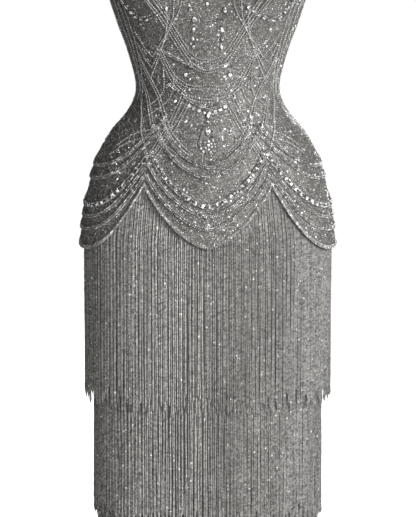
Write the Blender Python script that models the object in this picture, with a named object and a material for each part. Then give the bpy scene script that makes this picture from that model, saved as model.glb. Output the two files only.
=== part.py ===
"""Mermaid gown: a strapless beaded bodice with a scalloped lower edge over a skirt with tiers of fringe.

The gown keeps the form it has when it is worn. Its origin is at the centre of the waist, +Z is up and the
front faces -Y, so the gown's own left is at +X. Angles are measured round it from the centre front.
"""

import math
from collections import namedtuple

import bmesh
import bpy
from mathutils import Vector

# Walls and seams
BODICE_WALL = 0.0020
SKIRT_WALL = 0.0017
SEAM_GAP = 0.0004

# How far apart the points are that a slope of the bodice is measured between
SLOPE_STEP = 0.002
SLOPE_COLUMN_STEP = 0.5

# Height of the top edge: between the cups, at a cup's lowest seam, at the side and at the back
GORE_TOP = 0.165
CUP_SEAM_LOW = 0.100
SIDE_TOP = 0.190
BACK_TOP = 0.165
CUP_GORE_CORNER = 0.176
CUP_PEAK = 0.226
CUP_SEAM_BEND = 1.8

# Bust: two soft lobes that the cups are cut for
BUST_ANGLE = math.radians(33)
BUST_HEIGHT = 0.165
BUST_DEPTH = 0.040
BUST_SPREAD = math.radians(19)
BUST_RISE = 0.048

# Columns of points round half of the bodice, counted from the centre front
GORE_COLUMN = 1
CUP_PEAK_COLUMN = 10
FRONT_SEAM_COLUMN = 12
CUP_END_COLUMN = 18
BACK_SEAM_COLUMN = 30
BACK_END_COLUMN = 40
CUP_LAST_COLUMN = 17.5
CUP_CORNER_COLUMN = 17.95
FRONT_COLUMNS_PER_PLAIN_ONE = 2

# Raised bead garlands
GARLAND_HALF_WIDTH = 0.0028
SMALL_BEAD_SHARE = 0.5
HEM_ROLL_TOP = 0.0065
HEM_ROLL_MIDDLE = 0.0025
HEM_ROLL_RAISE = 0.0016
CUP_ROLL_WIDTH = 0.0060
CUP_ROLL_RAISE = 0.0018
CUP_ROLL_SHARE = 0.4

# Rows of points up a cup above its roll, and the columns over which its end leans to the side panel
CUP_ROWS = (0.35, 0.65, 1.0)
CUP_LEAN_COLUMNS = 4

# Centre back zip, closed, with its slider at the top
ZIP_HALF_WIDTH = 0.0030
ZIP_WALL = 0.0012
SLIDER_TOP = 0.003
SLIDER_BOTTOM = 0.014
SLIDER_RAISE = 0.0030

# Drop-shaped ornament at the centre front, below the waist
ORNAMENT_HEIGHT = -0.0690
ORNAMENT_RADIUS = 0.0135
ORNAMENT_TIP = 0.0260
ORNAMENT_SEAT = 0.0007
ORNAMENT_RIM = 0.0020
ORNAMENT_DOME = 0.0042
ORNAMENT_TABLE_SHARE = 0.55
ORNAMENT_TIP_SHARPNESS = 6
ORNAMENT_SIDES = 16

# Skirt and fringe
SKIRT_COLUMNS = 48
HEM_HEIGHT = -1.070
FLUTES = 12
FLUTE_DEPTH = 0.008
FLUTE_START = -0.740
STRIP_CLEARANCE = 0.0005
STRIP_WALL = 0.0016
STRAND_DEPTH = 0.0038
STRAND_SHARE = 0.25
STRAND_UNEVENNESS = 0.004
STRAND_UNEVEN_TURN = 2.4

Section = namedtuple("Section", "height half_width front_depth back_depth")
Seams = namedtuple("Seams", "height front_angle back_angle")
Garland = namedtuple("Garland", "tip front side back rise beaded bands_above")
Tier = namedtuple("Tier", "name top root bends end lift front_drop")
Look = namedtuple("Look", "name colour roughness metallic")

# Outer surface of the bodice, from the top down
BODICE_SECTIONS = [
    Section(0.230, 0.1450, 0.112, 0.090),
    Section(0.190, 0.1495, 0.111, 0.092),
    Section(0.150, 0.1455, 0.106, 0.094),
    Section(0.100, 0.1305, 0.097, 0.092),
    Section(0.050, 0.1125, 0.087, 0.086),
    Section(0.000, 0.1022, 0.083, 0.083),
    Section(-0.030, 0.1140, 0.087, 0.092),
    Section(-0.060, 0.1385, 0.093, 0.105),
    Section(-0.090, 0.1560, 0.099, 0.117),
    Section(-0.130, 0.1690, 0.106, 0.129),
    Section(-0.170, 0.1775, 0.111, 0.136),
    Section(-0.210, 0.1835, 0.114, 0.139),
    Section(-0.240, 0.1840, 0.115, 0.139),
]

# Where the princess seams and the side-back seams run, in degrees from the centre front
BODICE_SEAMS = [
    Seams(0.230, 42.0, 117.0),
    Seams(0.100, 42.0, 117.0),
    Seams(0.050, 37.0, 116.5),
    Seams(0.000, 30.0, 116.0),
    Seams(-0.060, 31.0, 118.0),
    Seams(-0.130, 32.2, 121.0),
    Seams(-0.240, 32.2, 121.0),
]

# Bead garlands: each hangs from tips at the seams to a low point in every panel. bands_above is how many
# bands of points the plain cloth above it is made of.
GARLANDS = [
    Garland(0.066, 0.034, 0.056, 0.050, rise=0.0016, beaded=False, bands_above=3),
    Garland(0.012, -0.020, -0.004, -0.002, rise=0.0022, beaded=True, bands_above=1),
    Garland(-0.038, -0.103, -0.108, -0.104, rise=0.0016, beaded=False, bands_above=3),
    Garland(-0.054, -0.118, -0.126, -0.121, rise=0.0016, beaded=False, bands_above=1),
    Garland(-0.082, -0.158, -0.165, -0.160, rise=0.0030, beaded=True, bands_above=1),
    Garland(-0.098, -0.172, -0.181, -0.175, rise=0.0014, beaded=False, bands_above=1),
    Garland(-0.114, -0.190, -0.199, -0.193, rise=0.0014, beaded=False, bands_above=1),
]
HEM_SCALLOP = Garland(-0.131, -0.2175, -0.228, -0.221, rise=0, beaded=False, bands_above=1)
FRONT_SCALLOP_BEND = 1.55
SIDE_SCALLOP_BEND = 2.8
BACK_SCALLOP_BEND = 2.2


def tucked_in(height, inset):
    """A section of the skirt that lies inside the bodice."""
    section = row_at(BODICE_SECTIONS, height, curved=True)
    return Section(height, *(size - inset for size in section[1:]))


def row_at(table, height, curved):
    """The table's row at any height, along straight or curved lines between the rows that it lists."""
    height = min(max(height, table[-1].height), table[0].height)
    index = next(i for i in range(len(table) - 1) if height >= table[i + 1].height)
    before, upper = table[max(index - 1, 0)], table[index]
    lower, after = table[index + 1], table[min(index + 2, len(table) - 1)]
    step = lower.height - upper.height
    t = (height - upper.height) / step
    values = []
    for a, b, c, d in zip(before[1:], upper[1:], lower[1:], after[1:]):
        if curved:
            start = (c - a) / (lower.height - before.height) * step
            finish = (d - b) / (after.height - upper.height) * step
            cubic = b * (2 * t**3 - 3 * t**2 + 1) + start * (t**3 - 2 * t**2 + t)
            values.append(cubic + c * (3 * t**2 - 2 * t**3) + finish * (t**3 - t**2))
        else:
            values.append(b + (c - b) * t)
    return type(upper)(height, *values)


def on_section(section, angle, out):
    """A point of an oval section, moved out level by a distance."""
    depth = section.front_depth if math.cos(angle) > 0 else section.back_depth
    point = Vector((section.half_width * math.sin(angle), -depth * math.cos(angle), section.height))
    outward = Vector((math.sin(angle) / section.half_width, -math.cos(angle) / depth, 0)).normalized()
    return point + outward * out


def bust_lobe(angle, height):
    """How far the bust stands out from the oval section."""
    round_body = (abs(angle) - BUST_ANGLE) / BUST_SPREAD
    up_body = (height - BUST_HEIGHT) / BUST_RISE
    return BUST_DEPTH * math.exp(-(round_body**2) - up_body**2)


def bodice_surface(angle, height):
    section = row_at(BODICE_SECTIONS, height, curved=True)
    return on_section(section, angle, bust_lobe(angle, height))


def bodice_point(angle, height, out):
    """A point of the bodice, moved out square to its surface."""
    across = bodice_surface(angle + SLOPE_STEP, height) - bodice_surface(angle - SLOPE_STEP, height)
    up = bodice_surface(angle, height + SLOPE_STEP) - bodice_surface(angle, height - SLOPE_STEP)
    return bodice_surface(angle, height) + across.cross(up).normalized() * out


def column_angle(column, height):
    """The angle of a column of points, which keep their places between the panels' seams."""
    seams = row_at(BODICE_SEAMS, height, curved=True)
    front, back = math.radians(seams.front_angle), math.radians(seams.back_angle)
    place = abs(column)
    if place <= FRONT_SEAM_COLUMN:
        angle = front * place / FRONT_SEAM_COLUMN
    elif place <= BACK_SEAM_COLUMN:
        share = (place - FRONT_SEAM_COLUMN) / (BACK_SEAM_COLUMN - FRONT_SEAM_COLUMN)
        angle = front + (back - front) * share
    else:
        share = (place - BACK_SEAM_COLUMN) / (BACK_END_COLUMN - BACK_SEAM_COLUMN)
        half_width = row_at(BODICE_SECTIONS, height, curved=True).half_width
        end = math.pi - math.asin((ZIP_HALF_WIDTH + SEAM_GAP) / half_width)
        angle = back + (end - back) * share
    return math.copysign(angle, column)


def top_edge(column):
    """The height of the panels' top edge: under the cups, then along the side and the back."""
    place = abs(column)
    if place <= GORE_COLUMN:
        return GORE_TOP
    if place <= FRONT_SEAM_COLUMN:
        share = (FRONT_SEAM_COLUMN - place) / (FRONT_SEAM_COLUMN - GORE_COLUMN)
        return CUP_SEAM_LOW + (GORE_TOP - CUP_SEAM_LOW) * share**CUP_SEAM_BEND
    if place <= CUP_END_COLUMN:
        share = (place - FRONT_SEAM_COLUMN) / (CUP_END_COLUMN - FRONT_SEAM_COLUMN)
        return CUP_SEAM_LOW + (SIDE_TOP - CUP_SEAM_LOW) * share**CUP_SEAM_BEND
    share = (place - CUP_END_COLUMN) / (BACK_END_COLUMN - CUP_END_COLUMN)
    return BACK_TOP + (SIDE_TOP - BACK_TOP) * (1 + math.cos(math.pi * share)) / 2


def hang(garland, column):
    """The height of a garland at a column: a curve from tip to tip in each panel."""
    place = abs(column)
    if place <= FRONT_SEAM_COLUMN:
        low, bend = garland.front, FRONT_SCALLOP_BEND
        share = place / FRONT_SEAM_COLUMN
    elif place <= BACK_SEAM_COLUMN:
        low, bend = garland.side, SIDE_SCALLOP_BEND
        middle = (FRONT_SEAM_COLUMN + BACK_SEAM_COLUMN) / 2
        share = abs(place - middle) / (BACK_SEAM_COLUMN - middle)
    else:
        low, bend = garland.back, BACK_SCALLOP_BEND
        middle = (BACK_SEAM_COLUMN + BACK_END_COLUMN) / 2
        share = abs(place - middle) / (BACK_END_COLUMN - middle)
    return garland.tip + (low - garland.tip) * (1 - share**bend)


def panel_lines(column):
    """(height, rise, on the plain inside too) of each line of points down a panel at a column."""
    lines = [(top_edge(column), 0, True)]
    previous = top_edge(column)
    for garland in GARLANDS:
        middle = hang(garland, column)
        upper = middle + GARLAND_HALF_WIDTH
        for band in range(1, garland.bands_above):
            lines.append((previous + (upper - previous) * band / garland.bands_above, 0, True))
        small = garland.beaded and round(column) % 2
        rise = garland.rise * (SMALL_BEAD_SHARE if small else 1)
        lines.append((upper, 0, False))
        lines.append((middle, rise, True))
        previous = middle - GARLAND_HALF_WIDTH
        lines.append((previous, 0, False))
    hem = hang(HEM_SCALLOP, column)
    lines.append((hem + HEM_ROLL_TOP, 0, False))
    lines.append((hem + HEM_ROLL_MIDDLE, HEM_ROLL_RAISE, False))
    lines.append((hem, 0, True))
    return lines


def wall(bm, outer, inner, rows, columns):
    """A closed wall between a grid of outer points and a plainer grid of inner ones.

    rows and columns say which outer rows and columns the inner ones lie behind.
    """
    fronts = [[bm.verts.new(point) for point in row] for row in outer]
    backs = [[bm.verts.new(point) for point in row] for row in inner]
    for upper, lower in zip(fronts, fronts[1:]):
        for i in range(len(upper) - 1):
            bm.faces.new((upper[i], lower[i], lower[i + 1], upper[i + 1]))
    for upper, lower in zip(backs, backs[1:]):
        for i in range(len(upper) - 1):
            bm.faces.new((upper[i + 1], lower[i + 1], lower[i], upper[i]))
    for i, (first, last) in enumerate(zip(columns, columns[1:])):
        bm.faces.new((backs[0][i], *fronts[0][first : last + 1], backs[0][i + 1]))
        bm.faces.new((backs[-1][i + 1], *fronts[-1][first : last + 1][::-1], backs[-1][i]))
    for i, (first, last) in enumerate(zip(rows, rows[1:])):
        right = [row[-1] for row in fronts[first : last + 1]]
        left = [row[0] for row in fronts[first : last + 1]]
        bm.faces.new((backs[i][-1], *right, backs[i + 1][-1]))
        bm.faces.new((backs[i + 1][0], *left[::-1], backs[i][0]))


def material(look):
    made = bpy.data.materials.new(look.name)
    made.use_nodes = True
    shader = made.node_tree.nodes["Principled BSDF"]
    shader.inputs["Base Color"].default_value = (*look.colour, 1)
    shader.inputs["Roughness"].default_value = look.roughness
    shader.inputs["Metallic"].default_value = look.metallic
    made.diffuse_color = (*look.colour, 1)
    return made


def finish(bm, name, look, collection):
    """Turns the mesh into a named object, with its faces split along their short diagonals."""
    bmesh.ops.recalc_face_normals(bm, faces=bm.faces[:])
    bmesh.ops.triangulate(bm, faces=bm.faces[:], quad_method="SHORT_EDGE", ngon_method="BEAUTY")
    mesh = bpy.data.meshes.new(name)
    bm.to_mesh(mesh)
    bm.free()
    mesh.materials.append(look)
    piece = bpy.data.objects.new(name, mesh)
    collection.objects.link(piece)
    return piece


def bodice_panel(name, first, last, look, collection, columns_per_plain_one=1):
    """A panel of the bodice between two columns, short of its seams by half a gap."""
    columns = range(first, last + 1)
    lines = [panel_lines(column) for column in columns]

    def point(i, height, out):
        angle = column_angle(first + i, height)
        half_width = row_at(BODICE_SECTIONS, height, curved=True).half_width
        trim = SEAM_GAP / 2 / half_width
        if i == 0 and abs(first) != BACK_END_COLUMN:
            angle += trim
        if i == len(columns) - 1 and abs(last) != BACK_END_COLUMN:
            angle -= trim
        return bodice_point(angle, height, out)

    rows = [j for j, line in enumerate(lines[0]) if line[2]]
    plain = list(range(0, len(columns), columns_per_plain_one))
    outer = [[point(i, *line[j][:2]) for i, line in enumerate(lines)] for j in range(len(lines[0]))]
    inner = [[point(i, lines[i][j][0], -BODICE_WALL) for i in plain] for j in rows]
    bm = bmesh.new()
    wall(bm, outer, inner, rows, plain)
    finish(bm, name, look, collection)


def cup_top(column):
    """The height of a cup's top edge."""
    place = abs(column)
    if place <= CUP_PEAK_COLUMN:
        share = (place - GORE_COLUMN) / (CUP_PEAK_COLUMN - GORE_COLUMN)
        return CUP_GORE_CORNER + (CUP_PEAK - CUP_GORE_CORNER) * math.sin(math.pi / 2 * share)
    share = (place - CUP_PEAK_COLUMN) / (CUP_END_COLUMN - CUP_PEAK_COLUMN)
    return SIDE_TOP + (CUP_PEAK - SIDE_TOP) * (1 + math.cos(math.pi * share)) / 2


def cup_bottom(column):
    """The height of a cup's lower edge, a seam's gap above the panels and square to the seam's slope."""
    low = max(abs(column) - SLOPE_COLUMN_STEP, GORE_COLUMN)
    high = min(abs(column) + SLOPE_COLUMN_STEP, CUP_END_COLUMN)
    ends = [bodice_surface(column_angle(place, top_edge(place)), top_edge(place)) for place in (low, high)]
    rise = ends[1] - ends[0]
    slope = rise.z / math.hypot(rise.x, rise.y)
    nearest = math.floor(abs(column))
    share = abs(column) - nearest
    seam = top_edge(nearest) * (1 - share) + top_edge(nearest + 1) * share
    return seam + SEAM_GAP * math.hypot(1, slope)


def cup(name, side, look, collection):
    """A cup over one side of the bust, from the gore to the side, with a bead roll along its lower seam."""
    places = [*range(GORE_COLUMN, CUP_END_COLUMN), CUP_LAST_COLUMN]

    def column_points(place):
        low, high = cup_bottom(place), cup_top(place)
        roll = min(CUP_ROLL_WIDTH, (high - low) * CUP_ROLL_SHARE)
        heights = [(low, 0), (low + roll / 2, CUP_ROLL_RAISE), (low + roll, 0)]
        heights += [(low + roll + (high - low - roll) * share, 0) for share in CUP_ROWS]
        lean = max(0, 1 - (CUP_LAST_COLUMN - place) / CUP_LEAN_COLUMNS)
        points = []
        for height, rise in heights:
            shift = (CUP_CORNER_COLUMN - CUP_LAST_COLUMN) * lean * (height - low) / (high - low)
            points.append((side * (place + shift), height, rise))
        return points

    grid = [column_points(place) for place in places][::side]
    plain = [0, len(places) - 1]
    for i, place in enumerate(places):
        if place % FRONT_COLUMNS_PER_PLAIN_ONE == 0 or place > FRONT_SEAM_COLUMN:
            plain.append(i)
    plain = sorted({i if side > 0 else len(places) - 1 - i for i in plain})
    count = len(grid[0])
    rows = [0, *range(count - len(CUP_ROWS), count)]

    def place_point(column, height, out):
        return bodice_point(column_angle(column, height), height, out)

    outer = [[place_point(*line[j]) for line in grid] for j in reversed(range(count))]
    inner = [[place_point(*grid[i][j][:2], -BODICE_WALL) for i in plain] for j in reversed(rows)]
    bm = bmesh.new()
    wall(bm, outer, inner, [count - 1 - j for j in reversed(rows)], plain)
    finish(bm, name, look, collection)


def zip_strip(name, look, collection):
    """The closed zip between the back panels, one narrow strip with its slider raised at the top."""
    lines = [line[0] for line in panel_lines(BACK_END_COLUMN) if line[2]]
    top = lines[0]
    slider = [(SLIDER_TOP, 0), (SLIDER_TOP, SLIDER_RAISE), (SLIDER_BOTTOM, SLIDER_RAISE), (SLIDER_BOTTOM, 0)]
    heights = [(top, 0)]
    heights += [(top - drop, rise) for drop, rise in slider]
    heights += [(height, 0) for height in lines[1:]]

    def point(side, height, out):
        half_width = row_at(BODICE_SECTIONS, height, curved=True).half_width
        return bodice_point(math.pi - side * math.asin(ZIP_HALF_WIDTH / half_width), height, out)

    outer = [[point(side, height, out) for side in (1, -1)] for height, out in heights]
    rows = [0, *range(1 + len(slider), len(heights))]
    inner = [[point(side, heights[j][0], -ZIP_WALL) for side in (1, -1)] for j in rows]
    bm = bmesh.new()
    wall(bm, outer, inner, rows, (0, 1))
    finish(bm, name, look, collection)


def ornament(name, look, collection):
    """A drop of stones at the centre front, made from the panel's points and moved out."""
    size = row_at(BODICE_SECTIONS, ORNAMENT_HEIGHT, curved=True).half_width

    def point(turn, share, out):
        tip = max(0, math.sin(turn)) ** ORNAMENT_TIP_SHARPNESS
        reach = (ORNAMENT_RADIUS + (ORNAMENT_TIP - ORNAMENT_RADIUS) * tip) * share
        across, up = reach * math.cos(turn), reach * math.sin(turn)
        return bodice_point(across / size, ORNAMENT_HEIGHT + up, out)

    bm = bmesh.new()
    turns = [math.tau * i / ORNAMENT_SIDES for i in range(ORNAMENT_SIDES)]
    seat = [bm.verts.new(point(turn, 1, ORNAMENT_SEAT)) for turn in turns]
    rim = [bm.verts.new(point(turn, 1, ORNAMENT_RIM)) for turn in turns]
    dome = [bm.verts.new(point(turn, ORNAMENT_TABLE_SHARE, ORNAMENT_DOME)) for turn in turns]
    crown = bm.verts.new(point(0, 0, ORNAMENT_DOME))
    base = bm.verts.new(point(0, 0, ORNAMENT_SEAT))
    for i in range(ORNAMENT_SIDES):
        j = (i + 1) % ORNAMENT_SIDES
        bm.faces.new((base, seat[j], seat[i]))
        bm.faces.new((seat[i], seat[j], rim[j], rim[i]))
        bm.faces.new((rim[i], rim[j], dome[j], dome[i]))
        bm.faces.new((dome[i], dome[j], crown))
    finish(bm, name, look, collection)


# Outer surface of the skirt, from the top down
SKIRT_SECTIONS = [
    tucked_in(-0.105, 0.0034),
    tucked_in(-0.120, 0.0056),
    tucked_in(-0.165, 0.0080),
    tucked_in(-0.210, 0.0082),
    Section(-0.400, 0.1625, 0.103, 0.120),
    Section(-0.660, 0.1525, 0.097, 0.106),
    Section(-0.740, 0.1600, 0.109, 0.118),
    Section(-0.810, 0.1820, 0.137, 0.148),
    Section(-0.890, 0.2170, 0.178, 0.192),
    Section(-0.980, 0.2640, 0.231, 0.248),
    Section(HEM_HEIGHT, 0.3170, 0.291, 0.309),
]

# Fringe tiers: where the strip starts and ends, where strands bend and end, how far the ends stand off the
# skirt to clear the next tier, and how much lower they end at the centre front
TIERS = [
    Tier("fringe_tier_1", -0.115, -0.127, (-0.165, -0.210), -0.443, 0.0005, 0.010),
    Tier("fringe_tier_2", -0.395, -0.407, (), -0.618, 0.0018, 0.006),
    Tier("fringe_tier_3", -0.565, -0.577, (-0.690,), -0.775, 0.0050, 0),
    Tier("fringe_tier_4", -0.742, -0.754, (-0.840,), -0.928, 0.0050, 0),
    Tier("fringe_tier_5", -0.898, -0.910, (-0.990,), -1.060, 0.0005, 0),
]

BEADED_TULLE = Look("beaded_tulle", (0.33, 0.33, 0.32), 0.45, 0.35)
CUP_CLOTH = Look("beaded_cup_cloth", (0.36, 0.36, 0.35), 0.45, 0.35)
SKIRT_CLOTH = Look("skirt_cloth", (0.22, 0.22, 0.215), 0.6, 0.0)
BEAD_FRINGE = Look("bead_fringe", (0.38, 0.38, 0.37), 0.35, 0.5)
STONES = Look("stones", (0.70, 0.70, 0.70), 0.12, 0.6)
ZIP_STRIP = Look("zip_strip", (0.30, 0.30, 0.30), 0.4, 0.3)


def flute(height):
    """How deep the soft flutes of the flared hem are at a height."""
    return FLUTE_DEPTH * max(0, (height - FLUTE_START) / (HEM_HEIGHT - FLUTE_START))


def skirt_point(column, section, out, trim=0.0):
    """A point of the skirt at one of its columns, moved out level; trim shortens the seam edges."""
    angle = math.tau * column / SKIRT_COLUMNS + trim / section.half_width
    return on_section(section, angle, out + flute(section.height) * math.cos(FLUTES * angle))


def skirt_half(name, first, look, collection):
    """The front or the back of the skirt, from side seam to side seam."""
    last = first + SKIRT_COLUMNS // 2
    trims = {first: SEAM_GAP / 2, last: -SEAM_GAP / 2}
    columns = range(first, last + 1)

    def line(section, out):
        return [skirt_point(column, section, out, trims.get(column, 0)) for column in columns]

    outer = [line(section, 0) for section in SKIRT_SECTIONS]
    inner = [line(section, -SKIRT_WALL) for section in SKIRT_SECTIONS]
    bm = bmesh.new()
    wall(bm, outer, inner, range(len(outer)), range(len(columns)))
    finish(bm, name, look, collection)


def hanging_section(root, height):
    """The section that a strand hangs at: as wide as the skirt gets between its root and a height."""
    passed = [row_at(SKIRT_SECTIONS, root, curved=False), row_at(SKIRT_SECTIONS, height, curved=False)]
    passed += [section for section in SKIRT_SECTIONS if height < section.height < root]
    return Section(height, *(max(sizes) for sizes in list(zip(*passed))[1:]))


def fringe_tier(tier, look, collection):
    """A narrow strip round the skirt and its strands, each fused to the strip by its root."""
    bm = bmesh.new()
    count = SKIRT_COLUMNS

    def ring(section, share, out):
        """One point a column, which lies part of the way to the next column."""
        points = [skirt_point(column, section, out) for column in range(count)]
        return [a.lerp(b, abs(share)) for a, b in zip(points, shifted(points, 1 if share > 0 else -1))]

    def shifted(items, by):
        return [items[(i + by) % len(items)] for i in range(len(items))]

    def new(points):
        return [bm.verts.new(point) for point in points]

    skirt_top = row_at(SKIRT_SECTIONS, tier.top, curved=False)
    skirt_root = row_at(SKIRT_SECTIONS, tier.root, curved=False)
    top_in = new(ring(skirt_top, 0, STRIP_CLEARANCE))
    top_out = new(ring(skirt_top, 0, STRIP_CLEARANCE + STRIP_WALL))
    inner = new(ring(skirt_root, 0, STRIP_CLEARANCE))
    left = new(ring(skirt_root, -STRAND_SHARE, STRIP_CLEARANCE + STRIP_WALL))
    right = new(ring(skirt_root, STRAND_SHARE, STRIP_CLEARANCE + STRIP_WALL))
    for i in range(count):
        j = (i + 1) % count
        bm.faces.new((top_in[i], top_out[i], top_out[j], top_in[j]))
        bm.faces.new((top_in[j], inner[j], inner[i], top_in[i]))
        bm.faces.new((top_out[i], right[i], left[j], top_out[j]))
        bm.faces.new((top_out[i], left[i], right[i]))
        bm.faces.new((inner[i], inner[j], left[j], right[i]))
    length = tier.root - tier.end
    for height in (*tier.bends, tier.end):
        share = (tier.root - height) / length
        lift = STRIP_CLEARANCE + (tier.lift - STRIP_CLEARANCE) * share
        section = hanging_section(tier.root, height)
        rings = [ring(section, 0, lift)]
        rings += [ring(section, side * STRAND_SHARE, lift + STRAND_DEPTH) for side in (-1, 1)]
        if height == tier.end:
            for i in range(count):
                ahead = max(0, math.cos(math.tau * i / count))
                shortfall = STRAND_UNEVENNESS * (1 + math.sin(STRAND_UNEVEN_TURN * i)) / 2
                for points in rings:
                    points[i].z += shortfall - tier.front_drop * ahead
        below = [new(points) for points in rings]
        above = (inner, left, right)
        for i in range(count):
            for a, b in ((0, 2), (2, 1), (1, 0)):
                bm.faces.new((above[a][i], above[b][i], below[b][i], below[a][i]))
        inner, left, right = below
    for i in range(count):
        bm.faces.new((inner[i], left[i], right[i]))
    finish(bm, tier.name, look, collection)


def main():
    for old in list(bpy.context.scene.objects):
        bpy.data.objects.remove(old, do_unlink=True)
    gown = bpy.data.collections.new("mermaid_gown")
    bpy.context.scene.collection.children.link(gown)

    beaded = material(BEADED_TULLE)
    cup_cloth = material(CUP_CLOTH)
    skirt_cloth = material(SKIRT_CLOTH)
    beads = material(BEAD_FRINGE)
    front = (-FRONT_SEAM_COLUMN, FRONT_SEAM_COLUMN)
    bodice_panel("bodice_front", *front, beaded, gown, FRONT_COLUMNS_PER_PLAIN_ONE)
    bodice_panel("bodice_side_left", FRONT_SEAM_COLUMN, BACK_SEAM_COLUMN, beaded, gown)
    bodice_panel("bodice_side_right", -BACK_SEAM_COLUMN, -FRONT_SEAM_COLUMN, beaded, gown)
    bodice_panel("bodice_back_left", BACK_SEAM_COLUMN, BACK_END_COLUMN, beaded, gown)
    bodice_panel("bodice_back_right", -BACK_END_COLUMN, -BACK_SEAM_COLUMN, beaded, gown)
    cup("cup_left", 1, cup_cloth, gown)
    cup("cup_right", -1, cup_cloth, gown)
    zip_strip("back_zip", material(ZIP_STRIP), gown)
    ornament("centre_ornament", material(STONES), gown)
    skirt_half("skirt_front", -SKIRT_COLUMNS // 4, skirt_cloth, gown)
    skirt_half("skirt_back", SKIRT_COLUMNS // 4, skirt_cloth, gown)
    for tier in TIERS:
        fringe_tier(tier, beads, gown)


main()
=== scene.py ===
"""Looks of the mermaid gown: beaded tulle, garlands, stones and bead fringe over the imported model.

The gown's origin is at the centre of the waist, +Z is up and the front faces -Y. Angles are measured round
it from the centre front, and the gown's own left is at +X.
"""

import math
from collections import namedtuple

import bmesh
import bpy
import numpy as np
from bpy.props import FloatProperty, FloatVectorProperty, IntProperty, PointerProperty
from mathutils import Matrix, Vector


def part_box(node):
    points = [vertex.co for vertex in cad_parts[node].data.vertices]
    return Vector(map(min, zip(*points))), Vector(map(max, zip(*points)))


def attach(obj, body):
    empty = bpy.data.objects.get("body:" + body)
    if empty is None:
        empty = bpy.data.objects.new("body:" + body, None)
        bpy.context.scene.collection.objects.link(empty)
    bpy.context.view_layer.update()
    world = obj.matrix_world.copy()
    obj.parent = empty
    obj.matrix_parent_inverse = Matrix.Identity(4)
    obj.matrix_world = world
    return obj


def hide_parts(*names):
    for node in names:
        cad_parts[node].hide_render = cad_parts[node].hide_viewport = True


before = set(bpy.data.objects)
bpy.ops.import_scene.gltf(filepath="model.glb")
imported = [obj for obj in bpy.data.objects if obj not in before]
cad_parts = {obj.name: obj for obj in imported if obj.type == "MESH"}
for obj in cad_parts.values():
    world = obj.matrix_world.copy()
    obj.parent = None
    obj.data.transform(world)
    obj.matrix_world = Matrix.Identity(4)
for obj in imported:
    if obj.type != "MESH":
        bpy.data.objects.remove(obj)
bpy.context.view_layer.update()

bl_info = {
    "name": "Mermaid gown looks",
    "version": (1, 0, 0),
    "blender": (4, 5, 0),
    "location": "3D View > Sidebar > Gown",
    "description": "Dresses the packed mermaid gown in beaded tulle, garlands, stones and bead fringe",
    "category": "Object",
}

BODY = "root"

# Walls and seams of the cloth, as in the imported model
BODICE_WALL = 0.0020
SKIRT_WALL = 0.0017
SEAM_GAP = 0.0004
SKIRT_SEAM_GAP = 0.0001
SLOPE_STEP = 0.002

# Height of the top edge, and the cups
GORE_TOP = 0.165
CUP_SEAM_LOW = 0.100
SIDE_TOP = 0.190
BACK_TOP = 0.165
CUP_GORE_CORNER = 0.176
CUP_PEAK = 0.226
CUP_SEAM_BEND = 1.8
BUST_ANGLE = math.radians(33)
BUST_HEIGHT = 0.165
BUST_DEPTH = 0.040
BUST_SPREAD = math.radians(19)
BUST_RISE = 0.048

# Columns of points round half of the bodice, counted from the centre front
GORE_COLUMN = 1
CUP_PEAK_COLUMN = 10
FRONT_SEAM_COLUMN = 12
CUP_LAST_COLUMN = 17.5
CUP_CORNER_COLUMN = 17.95
CUP_LEAN_COLUMNS = 4
CUP_END_COLUMN = 18
BACK_SEAM_COLUMN = 30
BACK_END_COLUMN = 40

# Zip: its tape, teeth and slider
ZIP_HALF_WIDTH = 0.0030
ZIP_WALL = 0.0012
ZIP_TAPE_GAP = 0.00005
ZIP_CLEARANCE = 0.0022
TOOTH_PITCH = 0.0011
TOOTH_ASIDE = 0.0007
TOOTH_SIZE = (0.0013, 0.00062, 0.0006)
SLIDER_DROP = 0.003
SLIDER_LENGTH = 0.011
SLIDER_HALF_WIDTH = 0.0028
SLIDER_TAPER = 0.28
SLIDER_THICKNESS = 0.0024
SLIDER_LIFT = 0.0009
SLIDER_RINGS = 9
SLIDER_SIDES = 16

# Rolls of beads along edges
GARLAND_HALF_WIDTH = 0.0028
HEM_ROLL_TOP = 0.0065
HEM_ROLL_MIDDLE = 0.0025
HEM_ROLL_RAISE = 0.0016
CUP_ROLL_WIDTH = 0.0060
CUP_ROLL_RAISE = 0.0018

# Points along lines, and along and down the sheets
GARLAND_SAMPLES = 1600
EDGE_SAMPLES = 400
STONE_ROW_SAMPLES = 200
STRING_SAMPLES = 120
CUP_SAMPLES = 67
CUP_ROWS = 16
SKIRT_SAMPLES = 97
SKIRT_BAND_ROWS = 7

# Beads on the bodice: pitch along their line and lift off the cloth, in bead radii, and sizes
GARLAND_PITCH = 2.1
GARLAND_LIFT = 0.55
BORDER_PITCH = 2.15
BORDER_LIFT = 0.5
NECKLINE_PITCH = 2.3
NECKLINE_BEAD = 1.1
STRING_PITCH = 2.8
STRING_LIFT = 1.5
SEED_LIFT = 0.35
SEED_LEAST = 0.65
SEED_MOST = 1.2

# Where the beads lie: from the middle of a garland, above the scalloped edge, and below the top edge
GARLAND_PAIR_GAP = 0.0014
STONE_PAIR_SPREAD = 1.9
BORDER_ROWS = (0.0008, 0.0027, 0.0047)
SEED_TOP_GAP = 0.002
SEED_ZIP_COLUMNS = 0.2

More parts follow.
